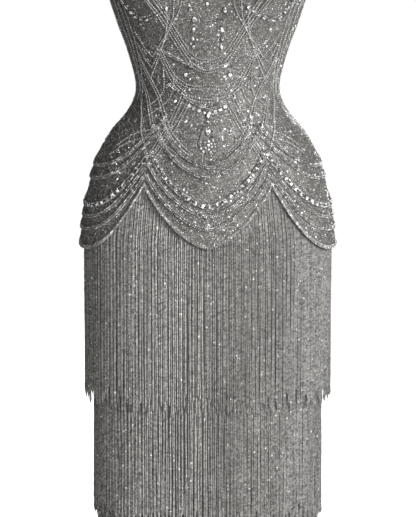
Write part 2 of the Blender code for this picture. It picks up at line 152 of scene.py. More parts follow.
# Stones in rows and the settings under them, painted near black as shadow round each stone
STONE_RADIUS = 0.0024
STONE_GROWTH = 0.0008
STONE_LIFT = 0.0002
NECKLACE_COLUMN = 6.4
NECKLACE_DROP = 0.008
NECKLACE_PITCH = 0.0078
CUP_STONE_COLUMNS = (6, 17)
CUP_STONE_PITCH = 0.0100
CUP_STONE_RADIUS = 0.0027
CUP_STONE_SHAPE = (0.8, 1.5, 0.9)
CUP_DOT_RISE = 0.0042
CUP_DOT_PITCH = 0.0050
CUP_DOT_RADIUS = 0.0013
CUP_DOT_LIFT = 0.0004
CLAW_WIDTH = 1.3
CLAW_SINK = 0.72
STONE_CORNERS = 26

# Outer surface of the bodice from the top down: height, half width, front depth, back depth
BODICE_SECTIONS = np.array(
    [
        (0.230, 0.1450, 0.112, 0.090),
        (0.190, 0.1495, 0.111, 0.092),
        (0.150, 0.1455, 0.106, 0.094),
        (0.100, 0.1305, 0.097, 0.092),
        (0.050, 0.1125, 0.087, 0.086),
        (0.000, 0.1022, 0.083, 0.083),
        (-0.030, 0.1140, 0.087, 0.092),
        (-0.060, 0.1385, 0.093, 0.105),
        (-0.090, 0.1560, 0.099, 0.117),
        (-0.130, 0.1690, 0.106, 0.129),
        (-0.170, 0.1775, 0.111, 0.136),
        (-0.210, 0.1835, 0.114, 0.139),
        (-0.240, 0.1840, 0.115, 0.139),
    ]
)

# Angles of the front and back seams: height, front angle, back angle, in degrees
BODICE_SEAMS = np.array(
    [
        (0.230, 42.0, 117.0),
        (0.100, 42.0, 117.0),
        (0.050, 37.0, 116.5),
        (0.000, 30.0, 116.0),
        (-0.060, 31.0, 118.0),
        (-0.130, 32.2, 121.0),
        (-0.240, 32.2, 121.0),
    ]
)

# Garlands hang from tips at the seams to a low point in each panel. bands is how many bands of cloth lie
# above each, stones the spacing of the stones on it, and sides how much of its rise it keeps behind the
# front panel.
Garland = namedtuple("Garland", "tip front side back rise bands stones sides")
GARLANDS = [
    Garland(0.066, 0.034, 0.056, 0.050, 0.0016, 14, 0, 0.2),
    Garland(0.012, -0.020, -0.004, -0.002, 0.0012, 6, 0, 0.2),
    Garland(-0.038, -0.103, -0.108, -0.104, 0.0016, 9, 0, 1),
    Garland(-0.054, -0.118, -0.126, -0.121, 0.0016, 2, 0, 1),
    Garland(-0.082, -0.158, -0.165, -0.160, 0.0016, 4, 0.0110, 1),
    Garland(-0.098, -0.172, -0.181, -0.175, 0.0014, 2, 0, 1),
    Garland(-0.114, -0.190, -0.199, -0.193, 0.0014, 2, 0, 1),
]
HEM_SCALLOP = Garland(-0.131, -0.2175, -0.228, -0.221, 0, 3, 0, 1)
FRONT_SCALLOP_BEND = 1.55
SIDE_SCALLOP_BEND = 2.8
BACK_SCALLOP_BEND = 2.2

# Families of bead strings on one quarter of the gown, as control points in degrees from the centre and
# heights. Each next string of a family is shifted by first at its first point and by last at its last one.
Family = namedtuple("Family", "points count first last paired")
FAMILIES = [
    Family(
        ((37, 0.172), (31, 0.127), (25, 0.089), (16, 0.052), (8, 0.036), (0, 0.031)),
        2, (-5, 0), (0, 0.015), True,
    ),
    Family(
        ((37, 0.062), (29, 0.020), (19, 0.000), (9, -0.009), (0, -0.011)),
        2, (-1, 0.004), (0, 0.021), True,
    ),
    Family(
        ((12.5, 0.150), (16, 0.120), (23, 0.095), (31, 0.075), (43, 0.050)),
        3, (5, -0.010), (3.5, -0.016), False,
    ),
    Family(((43, 0.050), (49, 0.064), (54, 0.085)), 3, (3.5, -0.016), (2, -0.015), False),
    Family(
        ((60, 0.048), (52, 0.022), (43, -0.003), (33, -0.029), (26.5, -0.046), (17, -0.069), (9, -0.086)),
        2, (6, -0.025), (7, -0.002), True,
    ),
    Family(((26, 0.030), (30, -0.004), (38, -0.022), (47, -0.034)), 2, (9, 0.006), (3, 0.014), False),
    Family(
        ((19, 0.002), (23.5, -0.026), (25.5, -0.047), (28.5, -0.068), (32, -0.092)),
        2, (-6, -0.006), (-1, -0.010), True,
    ),
    Family(
        ((56, 0.186), (57, 0.100), (60, 0.040), (63, -0.006), (49, -0.042), (37, -0.074), (33, -0.090)),
        2, (6, 0), (2, 0.010), False,
    ),
    Family(((69, 0.178), (69, 0.100), (69, 0.030), (70, -0.016)), 2, (12, 0), (12, 0), False),
    Family(((22, -0.052), (34, -0.052), (48, -0.060), (60, -0.078)), 2, (0, -0.009), (3, -0.014), False),
]

# Stones on one half of the front: angle in degrees, height, half length, half width, turn in degrees, cut
Stone = namedtuple("Stone", "angle height length width turn cut")
SPRAY = [
    Stone(10.0, 0.118, 0.0052, 0.0030, -20, "marquise"),
    Stone(8.0, 0.104, 0.0050, 0.0034, 15, "pear"),
    Stone(9.0, 0.090, 0.0044, 0.0026, -10, "marquise"),
    Stone(9.5, 0.077, 0.0044, 0.0026, 10, "marquise"),
    Stone(9.5, 0.066, 0.0040, 0.0024, -5, "marquise"),
    Stone(13.0, 0.040, 0.0052, 0.0030, 35, "marquise"),
    Stone(17.0, 0.026, 0.0030, 0.0030, 0, "round"),
    Stone(24.0, -0.046, 0.0034, 0.0030, 0, "round"),
    Stone(36.5, -0.047, 0.0038, 0.0030, 0, "round"),
    Stone(31.0, -0.036, 0.0040, 0.0024, 20, "marquise"),
    Stone(39.0, 0.056, 0.0038, 0.0022, 60, "marquise"),
    Stone(26.0, -0.012, 0.0030, 0.0022, -30, "marquise"),
    Stone(14.0, 0.020, 0.0020, 0.0020, 0, "round"),
    Stone(16.5, 0.011, 0.0024, 0.0024, 0, "round"),
    Stone(14.5, 0.005, 0.0017, 0.0017, 0, "round"),
    Stone(19.0, 0.003, 0.0021, 0.0021, 0, "round"),
    Stone(17.0, -0.004, 0.0017, 0.0017, 0, "round"),
    Stone(21.5, -0.007, 0.0022, 0.0022, 0, "round"),
    Stone(14.0, -0.052, 0.0024, 0.0016, 15, "marquise"),
    Stone(16.0, -0.066, 0.0022, 0.0016, -10, "marquise"),
    Stone(56.0, -0.085, 0.0026, 0.0026, 0, "round"),
    Stone(66.0, -0.120, 0.0026, 0.0026, 0, "round"),
]
CENTRE_STONES = [
    Stone(0.0, 0.143, 0.0060, 0.0038, 0, "pear"),
    Stone(0.0, 0.127, 0.0032, 0.0032, 0, "round"),
    Stone(0.0, -0.031, 0.0046, 0.0028, 0, "marquise"),
    Stone(0.0, -0.040, 0.0022, 0.0022, 0, "round"),
]

# Drop-shaped ornament at the centre front
ORNAMENT_HEIGHT = -0.0690
ORNAMENT_RADIUS = 0.0135
ORNAMENT_TIP = 0.0260
ORNAMENT_TIP_SHARPNESS = 6
ORNAMENT_SIDES = 48
ORNAMENT_TOP_STONE = -0.0525
ORNAMENT_CLUSTER = ORNAMENT_HEIGHT - 0.0035
ORNAMENT_STONE_LIFT = 0.0016

# Rings of the ornament's setting: share of its outline and lift. Rows of its stones: count, reach, radius
ORNAMENT_RINGS = ((0.001, 0.0007), (1, 0.0007), (1, 0.0016), (0.94, 0.0021), (0.8, 0.0017), (0.001, 0.0017))
ORNAMENT_STONE_ROWS = ((13, 0.0105, 0.0017), (7, 0.0058, 0.0017))

# Outer surface of the skirt below the bodice: height, half width, front depth, back depth
HEM_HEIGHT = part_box("skirt_front")[0].z
SKIRT_INSETS = ((-0.105, 0.0034), (-0.120, 0.0056), (-0.165, 0.0080), (-0.210, 0.0082))
SKIRT_LOWER = [
    (-0.400, 0.1625, 0.103, 0.120),
    (-0.660, 0.1525, 0.097, 0.106),
    (-0.740, 0.1600, 0.109, 0.118),
    (-0.810, 0.1820, 0.137, 0.148),
    (-0.890, 0.2170, 0.178, 0.192),
    (-0.980, 0.2640, 0.231, 0.248),
    (HEM_HEIGHT, 0.3170, 0.291, 0.309),
]
FLUTES = 12
FLUTE_DEPTH = 0.008
FLUTE_START = -0.740

# Fringe tiers: top of the strip, roots of the strands, heights where they bend, their ends, how far the
# ends stand off the skirt, how much lower they end at the centre front, how much longer the longest strands
# are and how much shorter than those the others may be, and the rings of points along a strand
Tier = namedtuple("Tier", "node top root bends end lift front_drop longer ragged rings")
TIERS = [
    Tier("fringe_tier_1", -0.115, -0.127, (-0.165, -0.210), -0.443, 0.0005, 0.010, 0.009, 0.036, 46),
    Tier("fringe_tier_2", -0.395, -0.407, (), -0.618, 0.0018, 0.006, 0.009, 0.036, 34),
    Tier("fringe_tier_3", -0.565, -0.577, (-0.690,), -0.775, 0.0050, 0, 0.003, 0.030, 30),
    Tier("fringe_tier_4", -0.742, -0.754, (-0.840,), -0.928, 0.0050, 0, 0.003, 0.030, 27),
    Tier("fringe_tier_5", -0.898, -0.910, (-0.990,), -1.060, 0.0005, 0, 0.003, 0.014, 24),
]
STRIP_CLEARANCE = 0.0005
STRIP_WALL = 0.0016
STRIP_SIDES = 96

# Strands: the depths of a tier's two layers, their roots over the scalloped edge, the clumps that their ends
# are drawn into, and how they sway and stand off
LAYER_DEPTHS = (0.0016, 0.0023)
ROOT_OVER_EDGE = 0.022
CLUMP = 5
CLUMP_PULL = 0.12
CLUMP_FROM = 0.35
ROOT_UNEVENNESS = 0.0004
SWAY = 0.0004
SWAY_WAVES = 2.2
DEPTH_UNEVENNESS = 0.00018
RIPPLE = 0.00025
RIPPLE_RATE = 9

# Looks of the strands: cells of the strands, the beads and the bands of painted fold shade to a metre, and
# tones of the beads: the tone under the painted shade at the sides, the darkest and the lightest
STRAND_CELLS = (230, 230, 5)
BEAD_CELLS = (330, 330, 430)
PAINTED_FOLD_CELLS = (55, 55, 5)
SHADED_TONE = 0.58
DARK_TONE = 0.19
LIGHT_TONE = 0.86

# The camera stands where the photograph was taken from
CAMERA_PLACE = (0.0004, -3.8, 0.32)
CAMERA_TARGET = (0.0004, 0, -0.2475)
CAMERA_LENS = 184.2
SENSOR_WIDTH = 36
FLOOR_SIZE = 40
FLOOR_DROP = 0.002
FLOOR_TONES = (0.46, 0.50)
WORLD_LIGHT = 0.07

WHITE = (1, 1, 1)
WARM_WHITE = (1, 0.98, 0.95)
Light = namedtuple("Light", "name place target size power mirrored tint")
LIGHTS = [
    Light("key_light", (2.4, -2.6, 0.9), (0, 0, -0.25), 1.3, 150, True, WHITE),
    Light("front_fill", (0.7, -3.6, 0.9), (0, 0, -0.3), 1.6, 64, False, WARM_WHITE),
    Light("back_fill", (0.6, 3.4, 1.0), (0, 0, -0.3), 1.6, 110, True, WHITE),
    Light("side_fill", (3.2, 1.2, 0.7), (0, 0, -0.4), 1.0, 14, False, WHITE),
    Light("other_side_fill", (-3.2, 1.6, 0.7), (0, 0, -0.4), 1.0, 8, False, WARM_WHITE),
]


class GownSizes(bpy.types.PropertyGroup):
    """Sizes of the beads, stones and strands."""

    garland_bead: FloatProperty(
        name="Garland bead", description="Radius of a round bead on the garlands",
        default=0.00125, unit="LENGTH",
    )
    string_bead: FloatProperty(
        name="String bead", description="Radius of a small bead on the strings",
        default=0.00115, unit="LENGTH",
    )
    seed_bead: FloatProperty(
        name="Seed bead", description="Radius of a bead sewn on the ground",
        default=0.00085, unit="LENGTH",
    )
    seed_count: IntProperty(
        name="Seed beads", description="How many beads are sewn on the ground of the bodice",
        default=22000, min=0,
    )
    pair_gap: FloatProperty(
        name="Pair gap", description="Distance between the two strings of a pair",
        default=0.0042, unit="LENGTH",
    )
    strand_spacing: FloatProperty(
        name="Strand spacing", description="Distance between strands of one layer of fringe",
        default=0.0057, unit="LENGTH",
    )
    strand_radius: FloatProperty(
        name="Strand radius", description="Radius of a strand of bugle beads",
        default=0.00150, unit="LENGTH",
    )


class GownColours(bpy.types.PropertyGroup):
    """Colours of the cloth and the beads."""

    cloth: FloatVectorProperty(
        name="Cloth", description="Tulle under the beads",
        default=(0.139, 0.125, 0.115), size=3, subtype="COLOR",
    )
    beads: FloatVectorProperty(
        name="Beads", description="Silver-lined beads",
        default=(0.62, 0.615, 0.60), size=3, subtype="COLOR",
    )
    fringe: FloatVectorProperty(
        name="Fringe", description="Bugle beads of the fringe",
        default=(0.62, 0.61, 0.59), size=3, subtype="COLOR",
    )
    stones: FloatVectorProperty(
        name="Stones", description="Clear foil-backed stones",
        default=(0.92, 0.92, 0.92), size=3, subtype="COLOR",
    )
    lining: FloatVectorProperty(
        name="Lining", description="Lining of the bodice and the skirt",
        default=(0.24, 0.235, 0.225), size=3, subtype="COLOR",
    )
    skirt: FloatVectorProperty(
        name="Skirt", description="Skirt cloth under the fringe",
        default=(0.25, 0.247, 0.240), size=3, subtype="COLOR",
    )


# The form of the gown


def unit(vectors):
    return vectors / np.linalg.norm(vectors, axis=-1, keepdims=True)


def rows_at(table, heights):
    """A table's values at heights, along smooth curves between its rows."""
    levels = table[:, 0]
    heights = np.clip(heights, levels[-1], levels[0])
    at = np.clip(np.searchsorted(-levels, -heights, side="right") - 1, 0, len(levels) - 2)
    before, after = np.maximum(at - 1, 0), np.minimum(at + 2, len(levels) - 1)
    step = (levels[at + 1] - levels[at])[..., None]
    t = (heights - levels[at])[..., None] / step
    upper, lower = table[at, 1:], table[at + 1, 1:]
    start = (lower - table[before, 1:]) / (levels[at + 1] - levels[before])[..., None] * step
    end = (table[after, 1:] - upper) / (levels[after] - levels[at])[..., None] * step
    held = upper * (2 * t**3 - 3 * t**2 + 1) + start * (t**3 - 2 * t**2 + t)
    return held + lower * (3 * t**2 - 2 * t**3) + end * (t**3 - t**2)


def oval(sizes, angle, height, out):
    """Points of level oval sections, moved out level."""
    depth = np.where(np.cos(angle) > 0, sizes[..., 1], sizes[..., 2])
    across, along = np.sin(angle), np.cos(angle)
    points = np.stack([sizes[..., 0] * across, -depth * along, np.broadcast_to(height, across.shape)], -1)
    outward = unit(np.stack([across / sizes[..., 0], -along / depth, np.zeros_like(across)], -1))
    return points + outward * np.asarray(out)[..., None]


def bodice_base(angle, height):
    round_body = (np.abs(angle) - BUST_ANGLE) / BUST_SPREAD
    up_body = (height - BUST_HEIGHT) / BUST_RISE
    lobe = BUST_DEPTH * np.exp(-(round_body**2) - up_body**2)
    return oval(rows_at(BODICE_SECTIONS, height), angle, height, lobe)


def on_bodice(angle, height, out=0.0):
    """Points of the bodice moved out square to its surface, and the outward directions there."""
    angle, height = np.broadcast_arrays(np.asarray(angle, float), np.asarray(height, float))
    across = bodice_base(angle + SLOPE_STEP, height) - bodice_base(angle - SLOPE_STEP, height)
    up = bodice_base(angle, height + SLOPE_STEP) - bodice_base(angle, height - SLOPE_STEP)
    outward = unit(np.cross(across, up))
    return bodice_base(angle, height) + outward * np.asarray(out)[..., None], outward


def seam_angles(height):
    """The angles of the front seam, the back seam and the edge at the zip."""
    seams = np.radians(rows_at(BODICE_SEAMS, height))
    half_width = rows_at(BODICE_SECTIONS, height)[..., 0]
    return seams[..., 0], seams[..., 1], math.pi - np.arcsin((ZIP_HALF_WIDTH + SEAM_GAP) / half_width)


def column_angle(column, height):
    """The angle of a column, which keeps its place between the panels' seams."""
    angles = np.stack([np.zeros_like(height), *seam_angles(height)], -1)
    stops = np.array([0, FRONT_SEAM_COLUMN, BACK_SEAM_COLUMN, BACK_END_COLUMN], float)
    place = np.abs(column)
    at = np.clip(np.searchsorted(stops, place, side="right") - 1, 0, 2)
    share = (place - stops[at]) / (stops[at + 1] - stops[at])
    low = np.take_along_axis(angles, at[..., None], -1)[..., 0]
    high = np.take_along_axis(angles, at[..., None] + 1, -1)[..., 0]
    return np.copysign(low + (high - low) * share, column)


def column_of(angle, height):
    """The column at an angle: the other way round."""
    front, back, end = seam_angles(height)
    place = np.abs(angle)
    in_front = FRONT_SEAM_COLUMN * place / front
    at_side = FRONT_SEAM_COLUMN + (BACK_SEAM_COLUMN - FRONT_SEAM_COLUMN) * (place - front) / (back - front)
    at_back = BACK_SEAM_COLUMN + (BACK_END_COLUMN - BACK_SEAM_COLUMN) * (place - back) / (end - back)
    return np.copysign(np.where(place < front, in_front, np.where(place < back, at_side, at_back)), angle)


def top_edge(column):
    """The height of the panels' top edge: under the cups, then along the side and the back."""
    place = np.abs(column)
    front = np.clip((FRONT_SEAM_COLUMN - place) / (FRONT_SEAM_COLUMN - GORE_COLUMN), 0, 1)
    side = np.clip((place - FRONT_SEAM_COLUMN) / (CUP_END_COLUMN - FRONT_SEAM_COLUMN), 0, 1)
    back = np.clip((place - CUP_END_COLUMN) / (BACK_END_COLUMN - CUP_END_COLUMN), 0, 1)
    under_cup = CUP_SEAM_LOW + (GORE_TOP - CUP_SEAM_LOW) * front**CUP_SEAM_BEND
    under_cup = under_cup + (SIDE_TOP - CUP_SEAM_LOW) * side**CUP_SEAM_BEND
    behind = BACK_TOP + (SIDE_TOP - BACK_TOP) * (1 + np.cos(math.pi * back)) / 2
    return np.where(place < CUP_END_COLUMN, under_cup, behind)


def cup_top(column):
    """The height of a cup's top edge."""
    place = np.abs(column)
    inner = np.clip((place - GORE_COLUMN) / (CUP_PEAK_COLUMN - GORE_COLUMN), 0, 1)
    outer = np.clip((place - CUP_PEAK_COLUMN) / (CUP_END_COLUMN - CUP_PEAK_COLUMN), 0, 1)
    rising = CUP_GORE_CORNER + (CUP_PEAK - CUP_GORE_CORNER) * np.sin(math.pi / 2 * inner)
    falling = SIDE_TOP + (CUP_PEAK - SIDE_TOP) * (1 + np.cos(math.pi * outer)) / 2
    return np.where(place < CUP_PEAK_COLUMN, rising, falling)


def neckline(column):
    """The height of the bodice's upper edge, over the cups and the panels."""
    return np.where(np.abs(column) < CUP_END_COLUMN, cup_top(column), top_edge(column))


def scallop(place, middle, half, bend):
    """How low a scallop hangs at a column: 1 at its middle and 0 at its tips."""
    return 1 - np.clip(np.abs(place - middle) / half, 0, 1) ** bend


def hang(garland, column):
    """The height of a garland at a column: a curve from tip to tip in each panel."""
    place = np.abs(column)
    side_middle = (FRONT_SEAM_COLUMN + BACK_SEAM_COLUMN) / 2
    back_middle = (BACK_SEAM_COLUMN + BACK_END_COLUMN) / 2
    front = scallop(place, 0, FRONT_SEAM_COLUMN, FRONT_SCALLOP_BEND)
    side = scallop(place, side_middle, BACK_SEAM_COLUMN - side_middle, SIDE_SCALLOP_BEND)
    back = scallop(place, back_middle, BACK_END_COLUMN - back_middle, BACK_SCALLOP_BEND)
    tip = garland.tip
    return tip + (garland.front - tip) * front + (garland.side - tip) * side + (garland.back - tip) * back


def relief(column, height):
    """How far the beadwork's rolls stand out of the cloth."""
    raised = np.zeros(np.broadcast(column, height).shape)
    for garland in GARLANDS:
        share = np.clip(1 - np.abs(height - hang(garland, column)) / GARLAND_HALF_WIDTH, 0, 1)
        behind = np.clip((np.abs(column) - FRONT_SEAM_COLUMN + 1) / 3, 0, 1)
        rise = garland.rise * (1 - (1 - garland.sides) * behind)
        raised = np.maximum(raised, rise * np.sin(math.pi / 2 * share))
    above_hem = height - hang(HEM_SCALLOP, column)
    stops = (0, HEM_ROLL_MIDDLE, HEM_ROLL_TOP)
    return np.maximum(raised, np.interp(above_hem, stops, (0, HEM_ROLL_RAISE, 0)))


SKIRT_SECTIONS = np.array(
    [(z, *(rows_at(BODICE_SECTIONS, np.array(z)) - inset)) for z, inset in SKIRT_INSETS] + SKIRT_LOWER
)


def skirt_sizes(height):
    """The skirt's section at heights, along straight lines between the rows of its table."""
    levels = -SKIRT_SECTIONS[:, 0]
    return np.stack([np.interp(-np.asarray(height), levels, SKIRT_SECTIONS[:, i]) for i in (1, 2, 3)], -1)


def on_skirt(sizes, angle, height, out):
    """Points of the skirt, or of strands round it, with the soft flutes of the flared hem."""
    flute = FLUTE_DEPTH * np.clip((height - FLUTE_START) / (HEM_HEIGHT - FLUTE_START), 0, None)
    return oval(sizes, angle, height, out + flute * np.cos(FLUTES * angle))


# Meshes


def mesh_piece(name, points, faces, looks, face_looks=None, smooth=True, sharp_over=None):
    mesh = bpy.data.meshes.new(name)
    mesh.from_pydata(np.asarray(points).reshape(-1, 3).tolist(), [], faces)
    for look in looks:
        mesh.materials.append(look)
    if face_looks is not None:
        mesh.polygons.foreach_set("material_index", np.asarray(face_looks, np.int32))
    mesh.polygons.foreach_set("use_smooth", np.full(len(mesh.polygons), smooth))
    if sharp_over is not None:
        mesh.set_sharp_from_angle(angle=math.radians(sharp_over))
    mesh.update()
    piece = bpy.data.objects.new(name, mesh)
    bpy.context.scene.collection.objects.link(piece)
    return piece


def dress(piece, slot, *nodes):
    """The piece rides on the gown and may stand for solids, which it hides; its slot is not used."""
    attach(piece, BODY)
    if nodes:
        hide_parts(*nodes)
    return piece


def shell(name, outer, inner, looks, sharp_over=50):
    """A closed sheet between two grids of points of the same size; the inner face takes the second look."""
    rows, columns = outer.shape[:2]
    index = np.arange(rows * columns).reshape(rows, columns)
    back = index + rows * columns

    def quads(a, b, c, d):
        return np.stack([a, b, c, d], -1).reshape(-1, 4)

    fronts = quads(index[:-1, :-1], index[1:, :-1], index[1:, 1:], index[:-1, 1:])
    backs = quads(back[:-1, 1:], back[1:, 1:], back[1:, :-1], back[:-1, :-1])
    rims = [
        quads(back[0, :-1], index[0, :-1], index[0, 1:], back[0, 1:]),
        quads(back[-1, 1:], index[-1, 1:], index[-1, :-1], back[-1, :-1]),
        quads(back[:-1, -1], index[:-1, -1], index[1:, -1], back[1:, -1]),
        quads(back[1:, 0], index[1:, 0], index[:-1, 0], back[:-1, 0]),
    ]
    faces = np.concatenate([fronts, backs, *rims])
    face_looks = np.zeros(len(faces), int)
    face_looks[len(fronts) : len(fronts) + len(backs)] = len(looks) - 1
    points = np.concatenate([outer.reshape(-1, 3), inner.reshape(-1, 3)])
    return mesh_piece(name, points, faces.tolist(), looks, face_looks, sharp_over=sharp_over)


def round_bead():
    bm = bmesh.new()
    bmesh.ops.create_icosphere(bm, subdivisions=1, radius=1)
    points = np.array([corner.co[:] for corner in bm.verts])
    faces = np.array([[corner.index for corner in face.verts] for face in bm.faces])
    bm.free()
    return points, faces


def ringed_shape(rings, sides):
    """A closed shape of level rings, each a function of the turn or one point, from the bottom up."""
    turns = math.tau * np.arange(sides) / sides
    points, faces, starts = [], [], []
    for ring in rings:
        starts.append(len(points))
        points += [ring] if isinstance(ring, tuple) else [ring(turn) for turn in turns]
    for ring, (low, high) in zip(rings, zip(starts, starts[1:])):
        for i in range(sides):
            j = (i + 1) % sides
            if isinstance(ring, tuple):
                faces.append((low, high + j, high + i))
            elif high == starts[-1] and isinstance(rings[-1], tuple):
                faces.append((low + i, low + j, high))
            else:
                faces += [(low + i, low + j, high + j), (low + i, high + j, high + i)]
    return np.array(points), np.array(faces)


def string_bead():
    """A small bead along the string: two low cones base to base, lengthened along Y."""

    def middle(turn):
        return (math.cos(turn), 0, math.sin(turn))

    points, faces = ringed_shape([(0, -1.35, 0), middle, (0, 1.35, 0)], 6)
    return points, faces[:, ::-1]


def seed_bead():
    """A small cut bead with eight faces."""
    return ringed_shape([(0, 0, -1), lambda turn: (math.cos(turn), math.sin(turn), 0), (0, 0, 1)], 4)


def cut_stone(cut):
    """A faceted stone that is 1 in half width and half length, and lies with its table up."""

    def outline(turn):
        across, along = math.cos(turn), math.sin(turn)
        if cut == "marquise":
            across *= abs(across) ** 0.6
        if cut == "pear":
            across *= 1 - 0.45 * max(0, along)
            along = along * (1.1 if along > 0 else 0.9)
        return across, along

    def ring(share, height, offset=0):
        def point(turn):
            across, along = outline(turn + offset)
            return (across * share, along * share, height)

        return point

    eighth = math.tau / 16
    return ringed_shape([(0, 0, 0), ring(0.85, 0), ring(1, 0.30), ring(0.62, 0.72, eighth), (0, 0, 0.74)], 8)


def ring_faces(rings, sides):
    """Faces of a tube through rings of points, with a cap at each end."""
    index = np.arange(rings * sides).reshape(rings, sides)
    ahead = np.roll(index, -1, axis=1)
    faces = np.stack([index[:-1], ahead[:-1], ahead[1:], index[1:]], -1).reshape(-1, 4)
    return faces.tolist() + [index[0, ::-1].tolist(), index[-1].tolist()]


def repeat(shape, places, axes, sizes):
    """Points and faces of a shape set at many places, with its own axes and sizes at each."""
    points, faces = shape
    scaled = points[None] * sizes[:, None]
    moved = np.einsum("npk,nkj->npj", scaled, axes) + places[:, None]
    offsets = (np.arange(len(places)) * len(points))[:, None, None]
    return moved.reshape(-1, 3), (faces[None] + offsets).reshape(-1, 3)


def joined(parts):
    """Points and faces of several repeats as one mesh."""
    points, faces, start = [], [], 0
    for some_points, some_faces in parts:
        points.append(some_points)
        faces.append(some_faces + start)
        start += len(some_points)
    return np.concatenate(points), np.concatenate(faces).tolist()


def smooth_line(controls, samples):
    """Points along a smooth line through control points."""
    controls = np.asarray(controls, float)
    ends = np.array([2 * controls[0] - controls[1], *controls, 2 * controls[-1] - controls[-2]])
    t = np.linspace(0, len(controls) - 1 - 1e-9, samples)
    at = t.astype(int)
    t = (t - at)[:, None]
    a, b, c, d = (ends[at + k] for k in range(4))
    return 0.5 * (2 * b + (c - a) * t + (2 * a - 5 * b + 4 * c - d) * t**2 + (3 * b - a - 3 * c + d) * t**3)


def strung(angle, height, pitch, out, aside=0.0):
    """Places and axes of beads at a pitch along a line on the bodice; aside moves them across the line."""
    line, _ = on_bodice(angle, height)
    run = np.concatenate([[0], np.cumsum(np.linalg.norm(np.diff(line, axis=0), axis=1))])
    marks = np.arange(pitch / 2, run[-1], pitch)
    angle, height = np.interp(marks, run, angle), np.interp(marks, run, height)
    lift = out + relief(column_of(angle, height), height)
    places, outward = on_bodice(angle, height, lift)
    along = np.gradient(places, axis=0)
    along = unit(along - outward * (along * outward).sum(-1, keepdims=True))
    across = np.cross(along, outward)
    return places + across * aside, np.stack([across, along, outward], 1)


def tilted(axes, rng, most=0.24):
    """Axes whose outward directions lean a little, each its own way."""
    outward = unit(axes[:, 2] + rng.normal(0, most, axes[:, 2].shape))
    along = unit(axes[:, 1] - outward * (axes[:, 1] * outward).sum(-1, keepdims=True))
    return np.stack([np.cross(along, outward), along, outward], 1)


def clear_of_zip(places, axes):
    """Only the beads that don't lie on the zip at the centre back."""
    keep = (places[:, 1] < 0) | (np.abs(places[:, 0]) > ZIP_HALF_WIDTH + ZIP_CLEARANCE)
    return places[keep], axes[keep]


def beads(shape, radius, places, axes, rng, unevenness=0.12):
    sizes = radius * (1 + unevenness * rng.uniform(-1, 1, (len(places), 1)))
    return repeat(shape, places, axes, np.repeat(sizes, 3, 1))


# Materials


class Nodes:
    """Short calls that add linked nodes to one node tree."""

    def __init__(self, tree):
        self.tree = tree

    def add(self, kind, **settings):
        node = self.tree.nodes.new(kind)
        for name, value in settings.items():
            setattr(node, name, value)
        return node

    def feed(self, socket, value):
        if isinstance(value, bpy.types.NodeSocket):
            self.tree.links.new(value, socket)
        else:
            socket.default_value = value

    def math(self, operation, *values, clamp=False):
        node = self.add("ShaderNodeMath", operation=operation, use_clamp=clamp)
        for socket, value in zip(node.inputs, values):
            self.feed(socket, value)
        return node.outputs[0]

    def weighted(self, first, first_share, second, second_share):
        parts = [self.math("MULTIPLY", first, first_share), self.math("MULTIPLY", second, second_share)]
        return self.math("ADD", *parts)

    def remap(self, value, low, high, to_low, to_high):
        node = self.add("ShaderNodeMapRange")
        for socket, number in zip(node.inputs, (value, low, high, to_low, to_high)):
            self.feed(socket, number)
        return node.outputs[0]

    def blend(self, share, first, second):
        node = self.add("ShaderNodeMix", data_type="RGBA")
        self.feed(node.inputs[0], share)
        self.feed(node.inputs[6], first)
        self.feed(node.inputs[7], second)
        return node.outputs[2]

    def vector(self, operation, *values):
        node = self.add("ShaderNodeVectorMath", operation=operation)
        for socket, value in zip(node.inputs, values):
            self.feed(socket, value)
        return node.outputs[0]

    def object_place(self):
        return self.add("ShaderNodeTexCoord").outputs["Object"]

    def group(self, tree, **values):
        node = self.add("ShaderNodeGroup")
        node.node_tree = tree
        for name, value in values.items():
            self.feed(node.inputs[name.replace("_", " ")], value)
        return node.outputs

    def bump(self, height, strength, distance, normal=None):
        node = self.add("ShaderNodeBump")
        node.inputs["Strength"].default_value = strength
        node.inputs["Distance"].default_value = distance
        self.feed(node.inputs["Height"], height)
        if normal is not None:
            self.feed(node.inputs["Normal"], normal)
        return node.outputs[0]


def effect(name, inputs, outputs, fill):
    """A shader node group with named sockets, made once."""
    if name in bpy.data.node_groups:
        return bpy.data.node_groups[name]
    tree = bpy.data.node_groups.new(name, "ShaderNodeTree")
    for label, kind, value in inputs:
        socket = tree.interface.new_socket(label, in_out="INPUT", socket_type=kind)
        if value is not None:
            socket.default_value = value
    for label in outputs:
        tree.interface.new_socket(label, in_out="OUTPUT", socket_type="NodeSocketFloat")
    nodes = Nodes(tree)
    given = nodes.add("NodeGroupInput").outputs
    results = fill(nodes, given)
    end = nodes.add("NodeGroupOutput")
    for label, value in zip(outputs, results):
        tree.links.new(value, end.inputs[label])
    return tree


def bead_speckle():
    """Close-set small beads: a random shade, a mask of the few beads that get painted glints, and round
    tops.
    """

    def fill(nodes, given):
        cells = nodes.add("ShaderNodeTexVoronoi")
        nodes.feed(cells.inputs["Vector"], given["Place"])
        nodes.feed(cells.inputs["Scale"], given["Beads per metre"])
        parts = nodes.add("ShaderNodeSeparateColor")
        nodes.feed(parts.inputs[0], cells.outputs["Color"])
        glint = nodes.math("GREATER_THAN", parts.outputs[1], given["Glint from"])
        top = nodes.remap(cells.outputs["Distance"], 0, 0.62, 1, 0)
        return parts.outputs[0], glint, top

    inputs = [
        ("Place", "NodeSocketVector", None),
        ("Beads per metre", "NodeSocketFloat", 500),
        ("Glint from", "NodeSocketFloat", 0.93),
    ]
    return effect("bead_speckle", inputs, ("Shade", "Glint", "Height"), fill)


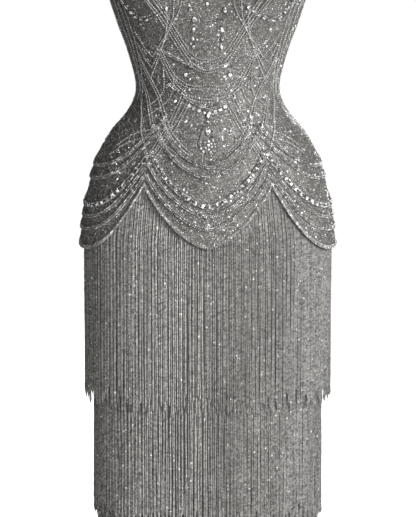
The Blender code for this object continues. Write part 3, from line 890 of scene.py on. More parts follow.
def cloudy_tone():
    """Slow change of tone over the gown."""

    def fill(nodes, given):
        noise = nodes.add("ShaderNodeTexNoise")
        nodes.feed(noise.inputs["Vector"], given["Place"])
        nodes.feed(noise.inputs["Scale"], given["Clouds per metre"])
        noise.inputs["Detail"].default_value = 3
        return (nodes.remap(noise.outputs[0], 0.3, 0.7, 0, 1),)

    inputs = [("Place", "NodeSocketVector", None), ("Clouds per metre", "NodeSocketFloat", 20)]
    return effect("cloudy_tone", inputs, ("Tone",), fill)


def side_shade():
    """Painted shade on the fringe: darker towards the gown's left side, and a little darker towards its
    right.
    """

    def fill(nodes, given):
        level = nodes.vector("MULTIPLY", given["Place"], (1, 1, 0))
        parts = nodes.add("ShaderNodeSeparateXYZ")
        nodes.feed(parts.inputs[0], nodes.vector("NORMALIZE", level))
        left = nodes.remap(parts.outputs[0], 0.55, 0.98, 1.0, 0.0)
        right = nodes.remap(parts.outputs[0], -1.0, -0.85, 0.75, 1.0)
        return (nodes.math("MULTIPLY", left, right),)

    return effect("side_shade", [("Place", "NodeSocketVector", None)], ("Light",), fill)


def woven_cloth():
    """Fine crossing threads."""

    def fill(nodes, given):
        bands = []
        for direction in ("X", "Z"):
            wave = nodes.add("ShaderNodeTexWave", bands_direction=direction)
            nodes.feed(wave.inputs["Vector"], given["Place"])
            nodes.feed(wave.inputs["Scale"], given["Threads per metre"])
            wave.inputs["Distortion"].default_value = 1.5
            bands.append(wave.outputs["Fac"])
        return (nodes.math("MULTIPLY", *bands),)

    inputs = [("Place", "NodeSocketVector", None), ("Threads per metre", "NodeSocketFloat", 300)]
    return effect("woven_cloth", inputs, ("Height",), fill)


def principled(name, metallic, roughness, **constants):
    made = bpy.data.materials.new(name)
    made.use_nodes = True
    shader = made.node_tree.nodes["Principled BSDF"]
    shader.inputs["Metallic"].default_value = metallic
    shader.inputs["Roughness"].default_value = roughness
    for label, value in constants.items():
        shader.inputs[label.replace("_", " ")].default_value = value
    return made, shader, Nodes(made.node_tree)


def tinted(colour, factor):
    return (*(min(1, channel * factor) for channel in colour), 1)


def beaded_tulle(name, colour, bead_colour):
    """Tulle covered with small beads: dark mesh between light beads, with painted glints."""
    made, shader, nodes = principled(name, metallic=0.25, roughness=0.42)
    place = nodes.object_place()
    coarse = nodes.group(bead_speckle(), Place=place, Beads_per_metre=430, Glint_from=0.985)
    fine = nodes.group(bead_speckle(), Place=place, Beads_per_metre=900, Glint_from=0.99)
    tone = nodes.group(cloudy_tone(), Place=place, Clouds_per_metre=26)["Tone"]
    shade = nodes.weighted(coarse["Shade"], 0.7, fine["Shade"], 0.3)
    shade = nodes.math("MULTIPLY", shade, nodes.remap(tone, 0, 1, 0.65, 1.0))
    covered = nodes.math("MULTIPLY", shade, nodes.remap(coarse["Height"], 0, 0.7, 0.25, 1))
    base = nodes.blend(covered, tinted(colour, 0.50), tinted(bead_colour, 0.90))
    glint = nodes.math("MAXIMUM", coarse["Glint"], fine["Glint"])
    # Painted glints: a few beads painted near white
    nodes.feed(shader.inputs["Base Color"], nodes.blend(glint, base, (0.95, 0.95, 0.95, 1)))
    nodes.feed(shader.inputs["Roughness"], nodes.remap(coarse["Shade"], 0, 1, 0.55, 0.25))
    height = nodes.math("ADD", coarse["Height"], nodes.math("MULTIPLY", fine["Height"], 0.4))
    nodes.feed(shader.inputs["Normal"], nodes.bump(height, 0.7, 0.0008))
    return made


def silver_beads(name, colour, per_metre, metallic, glint_from, dark):
    """Silver-lined glass beads, each with its own tone, a few of them painted near white as glints."""
    made, shader, nodes = principled(name, metallic=metallic, roughness=0.25)
    place = nodes.object_place()
    speckle = nodes.group(bead_speckle(), Place=place, Beads_per_metre=per_metre, Glint_from=glint_from)
    base = nodes.blend(speckle["Shade"], tinted(colour, dark), tinted(colour, 1.0))
    # Painted glints: a few beads painted near white
    nodes.feed(shader.inputs["Base Color"], nodes.blend(speckle["Glint"], base, (0.97, 0.97, 0.97, 1)))
    nodes.feed(shader.inputs["Roughness"], nodes.remap(speckle["Shade"], 0, 1, 0.38, 0.14))
    nodes.feed(shader.inputs["Normal"], nodes.bump(speckle["Height"], 0.25, 0.0004))
    return made


def bugle_strands(name, colour, light):
    """Strands of bugle beads: each bead and each strand has its own tone, with painted glints, broad bands
    of painted shade as of folds, and painted shade towards the gown's sides.
    """
    made, shader, nodes = principled(name, metallic=0.15, roughness=0.5, Specular_IOR_Level=0.35)
    place = nodes.object_place()
    strand_place = nodes.vector("MULTIPLY", place, STRAND_CELLS)
    bead_place = nodes.vector("MULTIPLY", place, BEAD_CELLS)
    painted_fold_place = nodes.vector("MULTIPLY", place, PAINTED_FOLD_CELLS)
    by_strand = nodes.group(cloudy_tone(), Place=strand_place, Clouds_per_metre=1)["Tone"]
    by_bead = nodes.group(bead_speckle(), Place=bead_place, Beads_per_metre=1, Glint_from=0.990)
    # Painted shade in broad vertical bands, as where the fringe folds
    painted_fold_shade = nodes.group(cloudy_tone(), Place=painted_fold_place, Clouds_per_metre=1)["Tone"]
    shade = nodes.weighted(by_strand, 0.20, by_bead["Shade"], 0.80)
    shade = nodes.math("MULTIPLY", shade, nodes.remap(painted_fold_shade, 0, 1, 0.72, 1.12))
    # Painted shade: a shaded and a lit copy of the strands' tones, blended by the side shade
    tones = []
    for strength in (SHADED_TONE * light, light):
        dark, bright = tinted(colour, DARK_TONE * strength), tinted(colour, LIGHT_TONE * strength)
        base = nodes.blend(shade, dark, bright)
        # Painted glints: a few beads painted near white
        tones.append(nodes.blend(by_bead["Glint"], base, tinted((0.85, 0.85, 0.84), strength)))
    side = nodes.group(side_shade(), Place=place)["Light"]
    nodes.feed(shader.inputs["Base Color"], nodes.blend(side, *tones))
    nodes.feed(shader.inputs["Roughness"], nodes.remap(by_bead["Shade"], 0, 1, 0.62, 0.4))
    level = nodes.vector("NORMALIZE", nodes.vector("MULTIPLY", place, (1, 1, 0)))
    outward = nodes.vector("MULTIPLY", level, (0.45, 0.45, 0))
    normal = nodes.add("ShaderNodeNewGeometry").outputs["Normal"]
    rounded = nodes.vector("NORMALIZE", nodes.vector("ADD", normal, outward))
    nodes.feed(shader.inputs["Normal"], nodes.bump(by_bead["Height"], 0.4, 0.0006, rounded))
    return made


def plain_cloth(name, colour, threads):
    made, shader, nodes = principled(name, metallic=0.0, roughness=0.7, Sheen_Weight=0.25)
    place = nodes.object_place()
    weave = nodes.group(woven_cloth(), Place=place, Threads_per_metre=threads)["Height"]
    tone = nodes.group(cloudy_tone(), Place=place, Clouds_per_metre=30)["Tone"]
    shade = nodes.weighted(weave, 0.5, tone, 0.5)
    nodes.feed(shader.inputs["Base Color"], nodes.blend(shade, tinted(colour, 0.7), tinted(colour, 1.15)))
    nodes.feed(shader.inputs["Roughness"], nodes.remap(tone, 0, 1, 0.78, 0.6))
    nodes.feed(shader.inputs["Normal"], nodes.bump(weave, 0.35, 0.0003))
    return made


def cut_glass(name, colour):
    """Foil-backed stones: patches painted white as highlights, about half of them, and the rest dark to mid
    grey as painted reflection; each stone a little unlike the others.
    """
    made, shader, nodes = principled(name, metallic=0.25, roughness=0.06, Coat_Weight=0.6)
    place = nodes.object_place()
    speckle = nodes.group(bead_speckle(), Place=place, Beads_per_metre=400, Glint_from=0.5)
    # Painted reflection in dark to mid grey, and painted highlights in white
    base = nodes.blend(speckle["Shade"], tinted(colour, 0.03), tinted(colour, 0.45))
    nodes.feed(shader.inputs["Base Color"], nodes.blend(speckle["Glint"], base, tinted((1, 1, 1), 1)))
    nodes.feed(shader.inputs["Roughness"], nodes.remap(speckle["Shade"], 0, 1, 0.03, 0.12))
    return made


def zip_metal(name, colour):
    made, shader, nodes = principled(name, metallic=0.8, roughness=0.3)
    place = nodes.object_place()
    tone = nodes.group(cloudy_tone(), Place=place, Clouds_per_metre=300)["Tone"]
    nodes.feed(shader.inputs["Base Color"], nodes.blend(tone, tinted(colour, 0.7), tinted(colour, 1.0)))
    nodes.feed(shader.inputs["Roughness"], nodes.remap(tone, 0, 1, 0.25, 0.42))
    nodes.feed(shader.inputs["Normal"], nodes.bump(tone, 0.15, 0.0002))
    return made


def look(name):
    """One of the gown's materials, made when it is first used."""
    if name in bpy.data.materials:
        return bpy.data.materials[name]
    colours = bpy.context.scene.gown_colours
    setting = tinted(colours.beads, 0.6)[:3]

    # Silver beads: how many to a metre, how metallic, from where they get painted glints, and the darkest
    # tone
    makers = {
        "tulle_with_beads": (beaded_tulle, colours.cloth, colours.beads),
        "satin_lining": (plain_cloth, colours.lining, 380),
        "skirt_crepe": (plain_cloth, colours.skirt, 300),
        "garland_silver_beads": (silver_beads, colours.beads, 360, 0.35, 0.84, 0.12),
        "string_silver_beads": (silver_beads, colours.beads, 380, 0.35, 0.94, 0.7),
        # The seed beads' random tone runs down to near black: partly their own tone, partly painted dark
        # reflection in their facets
        "seed_silver_beads": (silver_beads, colours.beads, 420, 0.4, 0.965, 0.06),
        "border_silver_beads": (silver_beads, colours.beads, 450, 0.3, 0.86, 0.28),
        "setting_silver": (silver_beads, setting, 520, 0.4, 0.96, 0.08),
        # The settings under the stones are painted near black as shadow round each stone
        "dark_claws": (zip_metal, (0.07, 0.07, 0.07)),
        "front_strand_beads": (bugle_strands, colours.fringe, 1.0),
        # The deep layer of strands is painted a tenth darker than the front one, as painted shade
        "deep_strand_beads": (bugle_strands, colours.fringe, 0.90),
        "foil_backed_stones": (cut_glass, colours.stones),
        "zip_silver": (zip_metal, colours.stones),
    }
    maker, *values = makers[name]
    return maker(name, *values)


# Pieces

# Bodice panels: node, first and last column, parts per column, the flat cut's width and length, its area
Panel = namedtuple("Panel", "node first last parts flat area")
PANELS = [
    Panel("bodice_front", -12, 12, 2, (0.24, 0.39), 0.052),
    Panel("bodice_side_left", 12, 30, 3, (0.29, 0.42), 0.0627),
    Panel("bodice_side_right", -30, -12, 3, (0.29, 0.42), 0.0627),
    Panel("bodice_back_left", 30, 40, 4, (0.18, 0.40), 0.052),
    Panel("bodice_back_right", -40, -30, 4, (0.18, 0.40), 0.052),
]
CUP_FLAT = (0.17, 0.13)
CUP_AREA = 0.016


def panel_heights(columns):
    """Heights of a panel's rows of points at its columns, close together at each roll of beads."""
    lines = [top_edge(columns)]
    for garland in GARLANDS:
        previous, middle = lines[-1], hang(garland, columns)
        upper = middle + GARLAND_HALF_WIDTH
        lines += [previous + (upper - previous) * band / garland.bands for band in range(1, garland.bands)]
        lines += [middle + GARLAND_HALF_WIDTH * share for share in (1, 0.5, 0, -0.5, -1)]
    previous, hem = lines[-1], hang(HEM_SCALLOP, columns)
    upper = hem + HEM_ROLL_TOP
    bands = HEM_SCALLOP.bands
    lines += [previous + (upper - previous) * band / bands for band in range(1, bands)]
    lines += [upper, hem + (HEM_ROLL_TOP + HEM_ROLL_MIDDLE) / 2, hem + HEM_ROLL_MIDDLE, hem]
    return np.stack(lines)


def bodice_sheet(name, node, angles, heights, raised, flat, area):
    """A beaded sheet with its lining, over one solid of the bodice."""
    outer, _ = on_bodice(angles, heights, raised)
    inner, _ = on_bodice(angles, heights, np.full(heights.shape, -BODICE_WALL))
    piece = shell(name, outer, inner, [look("tulle_with_beads"), look("satin_lining")])
    dress(piece, "beaded_tulle", node)


def panel_cloth(panel):
    columns = np.linspace(panel.first, panel.last, (panel.last - panel.first) * panel.parts + 1)
    heights = panel_heights(columns)
    places = np.broadcast_to(columns, heights.shape)
    angles = column_angle(places, heights)
    trim = SEAM_GAP / 2 / rows_at(BODICE_SECTIONS, heights)[..., 0]
    if abs(panel.first) != BACK_END_COLUMN:
        angles[:, 0] += trim[:, 0]
    if abs(panel.last) != BACK_END_COLUMN:
        angles[:, -1] -= trim[:, -1]
    name = panel.node.replace("bodice", "tulle")
    bodice_sheet(name, panel.node, angles, heights, relief(places, heights), panel.flat, panel.area)


def cup_cloth(side, node):
    """A cup over one side of the bust, with a roll of beads along its lower seam."""
    places = np.linspace(GORE_COLUMN, CUP_LAST_COLUMN, CUP_SAMPLES)
    slope_from = np.clip(places - 0.5, GORE_COLUMN, None)
    slope_to = np.clip(places + 0.5, None, CUP_END_COLUMN)
    ends = [
        on_bodice(column_angle(column, top_edge(column)), top_edge(column))[0]
        for column in (slope_from, slope_to)
    ]
    rise = ends[1] - ends[0]
    slope = rise[:, 2] / np.hypot(rise[:, 0], rise[:, 1])
    low = top_edge(places) + SEAM_GAP * np.hypot(1, slope)
    high = cup_top(places)
    roll = np.minimum(CUP_ROLL_WIDTH, (high - low) * 0.4)
    shares = np.linspace(1, 0, CUP_ROWS)[:-1]
    heights = [low + roll + (high - low - roll) * share for share in shares]
    raised = [np.zeros_like(low) for _ in shares]
    for share in (1, 0.75, 0.5, 0.25, 0):
        heights.append(low + roll * share)
        raised.append(np.full_like(low, CUP_ROLL_RAISE * math.sin(math.pi * share)))
    heights, raised = np.stack(heights), np.stack(raised)
    lean = np.clip(1 - (CUP_LAST_COLUMN - places) / CUP_LEAN_COLUMNS, 0, 1)
    shift = (CUP_CORNER_COLUMN - CUP_LAST_COLUMN) * lean * (heights - low) / (high - low)
    columns = side * (places + shift)
    order = slice(None, None, side)
    angles = column_angle(columns, heights)[:, order]
    name = node.replace("cup", "tulle_cup")
    bodice_sheet(name, node, angles, heights[:, order], raised[:, order], CUP_FLAT, CUP_AREA)


def skirt_cloth(node, first_angle, last_angle):
    angles = np.linspace(first_angle, last_angle, SKIRT_SAMPLES)
    levels = SKIRT_SECTIONS[:, 0]
    bands = [np.linspace(upper, lower, SKIRT_BAND_ROWS)[:-1] for upper, lower in zip(levels, levels[1:])]
    heights = np.concatenate(bands + [levels[-1:]])
    grid_angles, grid_heights = np.meshgrid(angles, heights)
    sizes = skirt_sizes(grid_heights)
    grid_angles[:, 0] += SKIRT_SEAM_GAP / 2 / sizes[:, 0, 1]
    grid_angles[:, -1] -= SKIRT_SEAM_GAP / 2 / sizes[:, -1, 1]
    outer = on_skirt(sizes, grid_angles, grid_heights, np.zeros(grid_heights.shape))
    inner = on_skirt(sizes, grid_angles, grid_heights, np.full(grid_heights.shape, -SKIRT_WALL))
    name = node.replace("skirt", "skirt_cloth")
    piece = shell(name, outer, inner, [look("skirt_crepe"), look("satin_lining")])
    return dress(piece, "skirt_cloth", node)


def garland_columns(first=-BACK_END_COLUMN, last=BACK_END_COLUMN):
    return np.linspace(first, last, GARLAND_SAMPLES)


def garland_beads():
    """Round beads in pairs of strings along the garlands."""
    sizes = bpy.context.scene.gown_sizes
    rng = np.random.default_rng(11)
    shape, parts = round_bead(), []
    radius = sizes.garland_bead
    for garland in GARLANDS:
        reach = BACK_END_COLUMN if garland.sides == 1 else FRONT_SEAM_COLUMN + 1
        columns = garland_columns(-reach, reach)
        heights = hang(garland, columns)
        angles = column_angle(columns, heights)
        gap = GARLAND_PAIR_GAP * (STONE_PAIR_SPREAD if garland.stones else 1)
        for aside in (-gap, gap):
            places, axes = strung(angles, heights, radius * GARLAND_PITCH, radius * GARLAND_LIFT, aside)
            parts.append(beads(shape, radius, *clear_of_zip(places, axes), rng))
    return joined(parts)


def border_beads():
    """Three rows of fine beads along the scalloped edge, and one along the neckline."""
    sizes = bpy.context.scene.gown_sizes
    rng = np.random.default_rng(12)
    shape, parts = round_bead(), []
    radius = sizes.string_bead
    columns = garland_columns()
    for above in BORDER_ROWS:
        heights = hang(HEM_SCALLOP, columns) + above
        angles = column_angle(columns, heights)
        places, axes = strung(angles, heights, radius * BORDER_PITCH, radius * BORDER_LIFT)
        parts.append(beads(shape, radius, *clear_of_zip(places, axes), rng))
    for first, last, edge in (
        (-BACK_END_COLUMN, -CUP_END_COLUMN, top_edge),
        (-CUP_CORNER_COLUMN, -GORE_COLUMN, cup_top),
        (-GORE_COLUMN, GORE_COLUMN, top_edge),
        (GORE_COLUMN, CUP_CORNER_COLUMN, cup_top),
        (CUP_END_COLUMN, BACK_END_COLUMN, top_edge),
    ):
        columns = np.linspace(first, last, EDGE_SAMPLES)
        heights = edge(columns)
        angles = column_angle(columns, heights)
        places, axes = strung(angles, heights, radius * NECKLINE_PITCH, -BODICE_WALL / 2)
        parts.append(beads(shape, radius * NECKLINE_BEAD, *clear_of_zip(places, axes), rng))
    return joined(parts)


def family_lines(family):
    """Angles and heights along each string of a family."""
    for number in range(family.count):
        controls = []
        for k, (angle, height) in enumerate(family.points):
            share = k / (len(family.points) - 1)
            shift = [a + (b - a) * share for a, b in zip(family.first, family.last)]
            controls.append((angle + number * shift[0], height + number * shift[1]))
        line = smooth_line(controls, STRING_SAMPLES)
        yield np.radians(line[:, 0]), line[:, 1]


def lattice_beads(back):
    """Strings of small beads that cross each other above and below the waist, on the front or the back."""
    sizes = bpy.context.scene.gown_sizes
    rng = np.random.default_rng(14 if back else 13)
    shape, parts = string_bead(), []
    radius = sizes.string_bead
    for family in FAMILIES:
        for angles, heights in family_lines(family):
            if back:
                angles = math.pi - angles
            inside = heights < neckline(column_of(angles, heights))
            angles, heights = angles[inside], heights[inside]
            for side in (1, -1):
                for gap in (-0.5, 0.5) if family.paired else (0,):
                    pitch, lift, aside = radius * STRING_PITCH, radius * STRING_LIFT, gap * sizes.pair_gap
                    places, axes = strung(side * angles, heights, pitch, lift, aside)
                    parts.append(beads(shape, radius, *clear_of_zip(places, axes), rng))
    return joined(parts)


def seed_beads():
    """Small cut beads sewn all over the ground of the bodice."""
    sizes = bpy.context.scene.gown_sizes
    rng = np.random.default_rng(15)
    count = sizes.seed_count
    angles = rng.uniform(-math.pi, math.pi, count * 2)
    heights = rng.uniform(HEM_SCALLOP.side, CUP_PEAK, count * 2)
    columns = column_of(angles, heights)
    inside = heights < neckline(columns) - SEED_TOP_GAP
    inside &= heights > hang(HEM_SCALLOP, columns) + HEM_ROLL_TOP
    inside &= np.abs(columns) < BACK_END_COLUMN - SEED_ZIP_COLUMNS
    angles, heights, columns = angles[inside][:count], heights[inside][:count], columns[inside][:count]
    lift = relief(columns, heights) + sizes.seed_bead * SEED_LIFT
    places, outward = on_bodice(angles, heights, lift)
    spin = unit(rng.normal(size=places.shape))
    across = unit(np.cross(spin, outward))
    axes = np.stack([across, np.cross(outward, across), outward], 1)
    radii = sizes.seed_bead * rng.uniform(SEED_LEAST, SEED_MOST, (len(places), 1))
    return joined([repeat(seed_bead(), places, axes, np.repeat(radii, 3, 1))])


def stone_axes(angle, height, turn, out):
    """Place and axes of stones on the bodice; turn is from upright, in degrees."""
    places, outward = on_bodice(angle, height, out)
    up = unit(np.array([0, 0, 1]) - outward * outward[:, 2:])
    across = np.cross(up, outward)
    turned = np.radians(turn)[:, None]
    along = up * np.cos(turned) + across * np.sin(turned)
    return places, np.stack([np.cross(along, outward), along, outward], 1)


def listed_stones(stones):
    parts = []
    rng = np.random.default_rng(17)
    for cut in ("round", "pear", "marquise"):
        chosen = [stone for stone in stones if stone.cut == cut]
        angle = np.radians([stone.angle for stone in chosen])
        height = np.array([stone.height for stone in chosen])
        turn = np.array([stone.turn for stone in chosen], float)
        lift = relief(column_of(angle, height), height) + STONE_LIFT
        places, axes = stone_axes(angle, height, turn, lift)
        scale = np.array([(stone.width, stone.length, stone.width) for stone in chosen])
        parts.append(repeat(cut_stone(cut), places, tilted(axes, rng), scale))
    return parts


def garland_stones():
    """Round stones in a row along the large garland, larger at its low points."""
    parts = []
    rng = np.random.default_rng(16)
    for garland in GARLANDS:
        if not garland.stones:
            continue
        columns = garland_columns()
        heights = hang(garland, columns)
        angles = column_angle(columns, heights)
        places, axes = clear_of_zip(*strung(angles, heights, garland.stones, 0.0))
        low = np.clip((garland.tip - places[:, 2]) / (garland.tip - garland.side), 0, 1)
        radius = STONE_RADIUS + STONE_GROWTH * low
        radius *= rng.uniform(0.94, 1.06, len(places))
        scale = np.stack([radius * 1.05, radius, radius], 1)
        parts.append(repeat(cut_stone("round"), places, tilted(axes, rng), scale))
    return parts


def claws(parts):
    """A setting under each stone, painted near black as shadow round the stone: its lower half, made wider
    and flatter.
    """
    wider = []
    for points, faces in parts:
        corners = points.reshape(-1, STONE_CORNERS, 3)
        foot = corners[:, :1]
        moved = foot + (corners - foot) * CLAW_WIDTH
        outward = unit(corners[:, -1:] - foot)
        moved = moved - outward * ((moved - foot) * outward).sum(-1, keepdims=True) * CLAW_SINK
        wider.append((moved.reshape(-1, 3), faces))
    return wider


def necklace_stones():
    """The row of stones under the waist at the centre front, and one row under each cup."""
    parts = []
    columns = np.linspace(-NECKLACE_COLUMN, NECKLACE_COLUMN, STONE_ROW_SAMPLES)
    heights = hang(GARLANDS[1], columns) - NECKLACE_DROP
    places, axes = strung(column_angle(columns, heights), heights, NECKLACE_PITCH, 0.0)
    aside = np.abs(places[:, 0])
    radius = STONE_RADIUS + STONE_GROWTH * aside / aside.max()
    rng = np.random.default_rng(18)
    parts.append(repeat(cut_stone("round"), places, tilted(axes, rng), np.stack([radius] * 3, 1)))
    for side in (1, -1):
        columns = side * np.linspace(*CUP_STONE_COLUMNS, STONE_ROW_SAMPLES)
        heights = top_edge(columns) + CUP_ROLL_WIDTH / 2
        angles = column_angle(columns, heights)
        places, axes = strung(angles, heights, CUP_STONE_PITCH, CUP_ROLL_RAISE * 0.9)
        scale = np.full((len(places), 3), CUP_STONE_RADIUS) * CUP_STONE_SHAPE
        parts.append(repeat(cut_stone("marquise"), places, tilted(axes, rng), scale))
        places, axes = strung(angles, heights + CUP_DOT_RISE, CUP_DOT_PITCH, CUP_DOT_LIFT)
        scale = np.full((len(places), 3), CUP_DOT_RADIUS)
        parts.append(repeat(cut_stone("round"), places, tilted(axes, rng), scale))
    return parts


def hanging_sizes(root, height):
    """The section that strands hang at: as wide as the skirt gets between their roots and a height."""
    passed = [skirt_sizes(root), skirt_sizes(height)]
    passed += [row[1:] for row in SKIRT_SECTIONS if height < row[0] < root]
    return np.max(passed, axis=0)


def evenly_round(sizes, height, count, start):
    """Angles that stand at even distances round a section."""
    dense = np.linspace(-math.pi, math.pi, 1441)
    line = on_skirt(np.broadcast_to(sizes, (*dense.shape, 3)), dense, height, np.zeros(dense.shape))
    run = np.concatenate([[0], np.cumsum(np.linalg.norm(np.diff(line, axis=0), axis=1))])
    return np.interp((np.arange(count) + start) / count * run[-1], run, dense), run[-1]


def strand_layer(tier, angles, depth, rng):
    """Centre points, outward directions and radii of one layer of strands, ring by ring."""
    sizes = bpy.context.scene.gown_sizes
    count, rings = len(angles), tier.rings
    ahead = np.clip(np.cos(angles), 0, None)
    ends = tier.end - tier.front_drop * ahead - tier.longer + tier.ragged * rng.beta(1.2, 2.2, count)
    roots = np.full(count, tier.root)
    if tier is TIERS[0]:
        column = column_of(angles, np.full(count, -0.2))
        roots = np.minimum(roots, hang(HEM_SCALLOP, column) + ROOT_OVER_EDGE)
    share = np.linspace(0, 1, rings)[None]
    heights = roots[:, None] + (ends - roots)[:, None] * share
    levels = np.array([tier.root, *tier.bends, tier.end - tier.front_drop])
    table = np.array([hanging_sizes(tier.root, level) for level in levels])
    section = np.stack([np.interp(-heights, -levels, table[:, i]) for i in range(3)], -1)
    down = np.clip((tier.root - heights) / (tier.root - tier.end), 0, 1)
    lift = STRIP_CLEARANCE + (tier.lift - STRIP_CLEARANCE) * down
    order = np.arange(count)
    clump = np.round(order / CLUMP) * CLUMP
    pull = (clump - order) / count * math.tau * rng.uniform(0, CLUMP_PULL, count)
    sway = rng.normal(0, SWAY, (count, 1))
    sway = sway * np.sin(math.pi * SWAY_WAVES * share + rng.uniform(0, 6, (count, 1)))
    swing = sway / section[..., 0] + pull[:, None] * np.clip(down - CLUMP_FROM, 0, 1) ** 2
    turned = angles[:, None] + swing
    unlike = rng.normal(0, DEPTH_UNEVENNESS, (count, 1))
    ripple = RIPPLE * np.sin(RIPPLE_RATE * share + rng.uniform(0, 6, (count, 1)))
    centres = on_skirt(section, turned, heights, lift + depth + unlike + ripple)
    outward = unit(np.stack([np.sin(turned), -np.cos(turned), np.zeros_like(turned)], -1))
    bead = np.where(np.arange(rings) % 2, 1.0, 0.85)
    radii = sizes.strand_radius * bead[None] * rng.uniform(0.85, 1.1, (count, rings))
    radii[:, -2] = sizes.strand_radius * 1.2
    radii[:, -1] = sizes.strand_radius * 0.35
    return centres, outward, radii


def strands(tier, angles, depth, rng):
    """Points and faces of one layer of strands, three-sided tubes that thicken at each bead."""
    centres, outward, radii = strand_layer(tier, angles, depth, rng)
    count, rings = radii.shape
    across = np.stack([-outward[..., 1], outward[..., 0], np.zeros(radii.shape)], -1)
    corners = []
    for corner in range(3):
        turn = math.pi / 2 + math.tau * corner / 3
        corners.append(centres + radii[..., None] * (across * math.cos(turn) + outward * math.sin(turn)))
    points = np.stack(corners, 2)
    index = np.arange(count * rings * 3).reshape(count, rings, 3)
    following = np.roll(index, -1, axis=2)
    sides = np.stack([index[:, :-1], following[:, :-1], following[:, 1:], index[:, 1:]], -1).reshape(-1, 4)
    caps = np.concatenate([index[:, 0, ::-1], index[:, -1]])
    return points.reshape(-1, 3), sides, caps


def fringe_tier(tier):
    """One tier: a narrow strip round the skirt and two staggered layers of strands."""
    sizes = bpy.context.scene.gown_sizes
    rng = np.random.default_rng(30 + TIERS.index(tier))
    section = hanging_sizes(tier.root, tier.bends[0] if tier.bends else tier.end)
    _, length = evenly_round(section, tier.root, 8, 0)
    count = round(length / sizes.strand_spacing)
    points, faces, looks, start = [], [], [], 0
    for layer, depth in enumerate(LAYER_DEPTHS):
        angles, _ = evenly_round(section, tier.root, count, 0.25 + layer / 2)
        angles = angles + rng.normal(0, ROOT_UNEVENNESS, count) / section[0]
        some, sides, caps = strands(tier, angles, depth, rng)
        points.append(some)
        faces += (sides + start).tolist() + (caps + start).tolist()
        looks += [layer] * (len(sides) + len(caps))
        start += len(some)
    strip, strip_faces = fringe_strip(tier)
    points.append(strip)
    faces += (strip_faces + start).tolist()
    looks += [2] * len(strip_faces)
    fringe_looks = [look(name) for name in ("deep_strand_beads", "front_strand_beads", "skirt_crepe")]
    name = tier.node.replace("fringe_tier", "bead_fringe")
    piece = mesh_piece(name, np.concatenate(points), faces, fringe_looks, looks, sharp_over=80)
    return dress(piece, "bead_fringe", tier.node)


def fringe_strip(tier):
    """The narrow strip that a tier's strands are sewn to, as a closed ring."""
    angles = math.tau * np.arange(STRIP_SIDES) / STRIP_SIDES
    ring = []
    for height, out in (
        (tier.top, STRIP_CLEARANCE),
        (tier.top, STRIP_CLEARANCE + STRIP_WALL),
        (tier.root, STRIP_CLEARANCE + STRIP_WALL),
        (tier.root, STRIP_CLEARANCE),
    ):
        sizes = np.broadcast_to(skirt_sizes(height), (STRIP_SIDES, 3))
        ring.append(on_skirt(sizes, angles, height, np.full(STRIP_SIDES, out)))
    points = np.stack(ring, 1)
    index = np.arange(STRIP_SIDES * 4).reshape(STRIP_SIDES, 4)
    ahead = np.roll(index, -1, axis=0)
    quads = np.stack([index, np.roll(index, -1, axis=1), np.roll(ahead, -1, axis=1), ahead], -1)
    return points.reshape(-1, 3), quads.reshape(-1, 4)


class GownOperator(bpy.types.Operator):
    bl_options = {"REGISTER", "UNDO"}


class GOWN_OT_bodice_cloth(GownOperator):
    """Make the beaded panels and cups of the bodice."""

    bl_idname = "gown.bodice_cloth"
    bl_label = "Bodice cloth"

    def execute(self, context):
        for panel in PANELS:
            panel_cloth(panel)
        cup_cloth(1, "cup_left")
        cup_cloth(-1, "cup_right")
        return {"FINISHED"}


class GOWN_OT_beadwork(GownOperator):
    """Make the garlands, strings and sewn beads of the bodice."""

    bl_idname = "gown.beadwork"
    bl_label = "Beadwork"

    def execute(self, context):
        for name, (points, faces), beads_look in (
            ("garland_beads", garland_beads(), "garland_silver_beads"),
            ("border_beads", border_beads(), "border_silver_beads"),
            ("lattice_beads_front", lattice_beads(False), "string_silver_beads"),
            ("lattice_beads_back", lattice_beads(True), "string_silver_beads"),
            ("seed_beads", seed_beads(), "seed_silver_beads"),
        ):
            smooth = name != "seed_beads"
            piece = mesh_piece(name, points, faces, [look(beads_look)], smooth=smooth)
            dress(piece, "beaded_tulle")
        return {"FINISHED"}


class GOWN_OT_stones(GownOperator):
    """Make the stones on the garlands, under the cups and in sprays at the front."""

    bl_idname = "gown.stones"
    bl_label = "Stones"

    def execute(self, context):
        front = SPRAY + [stone._replace(angle=-stone.angle, turn=-stone.turn) for stone in SPRAY]
        parts = listed_stones(front + CENTRE_STONES) + garland_stones() + necklace_stones()
        points, faces = joined(parts)
        piece = mesh_piece("sewn_stones", points, faces, [look("foil_backed_stones")], smooth=False)
        dress(piece, "stones")
        points, faces = joined(claws(parts))
        piece = mesh_piece("stone_settings", points, faces, [look("dark_claws")], smooth=False)
        dress(piece, "stones")
        return {"FINISHED"}


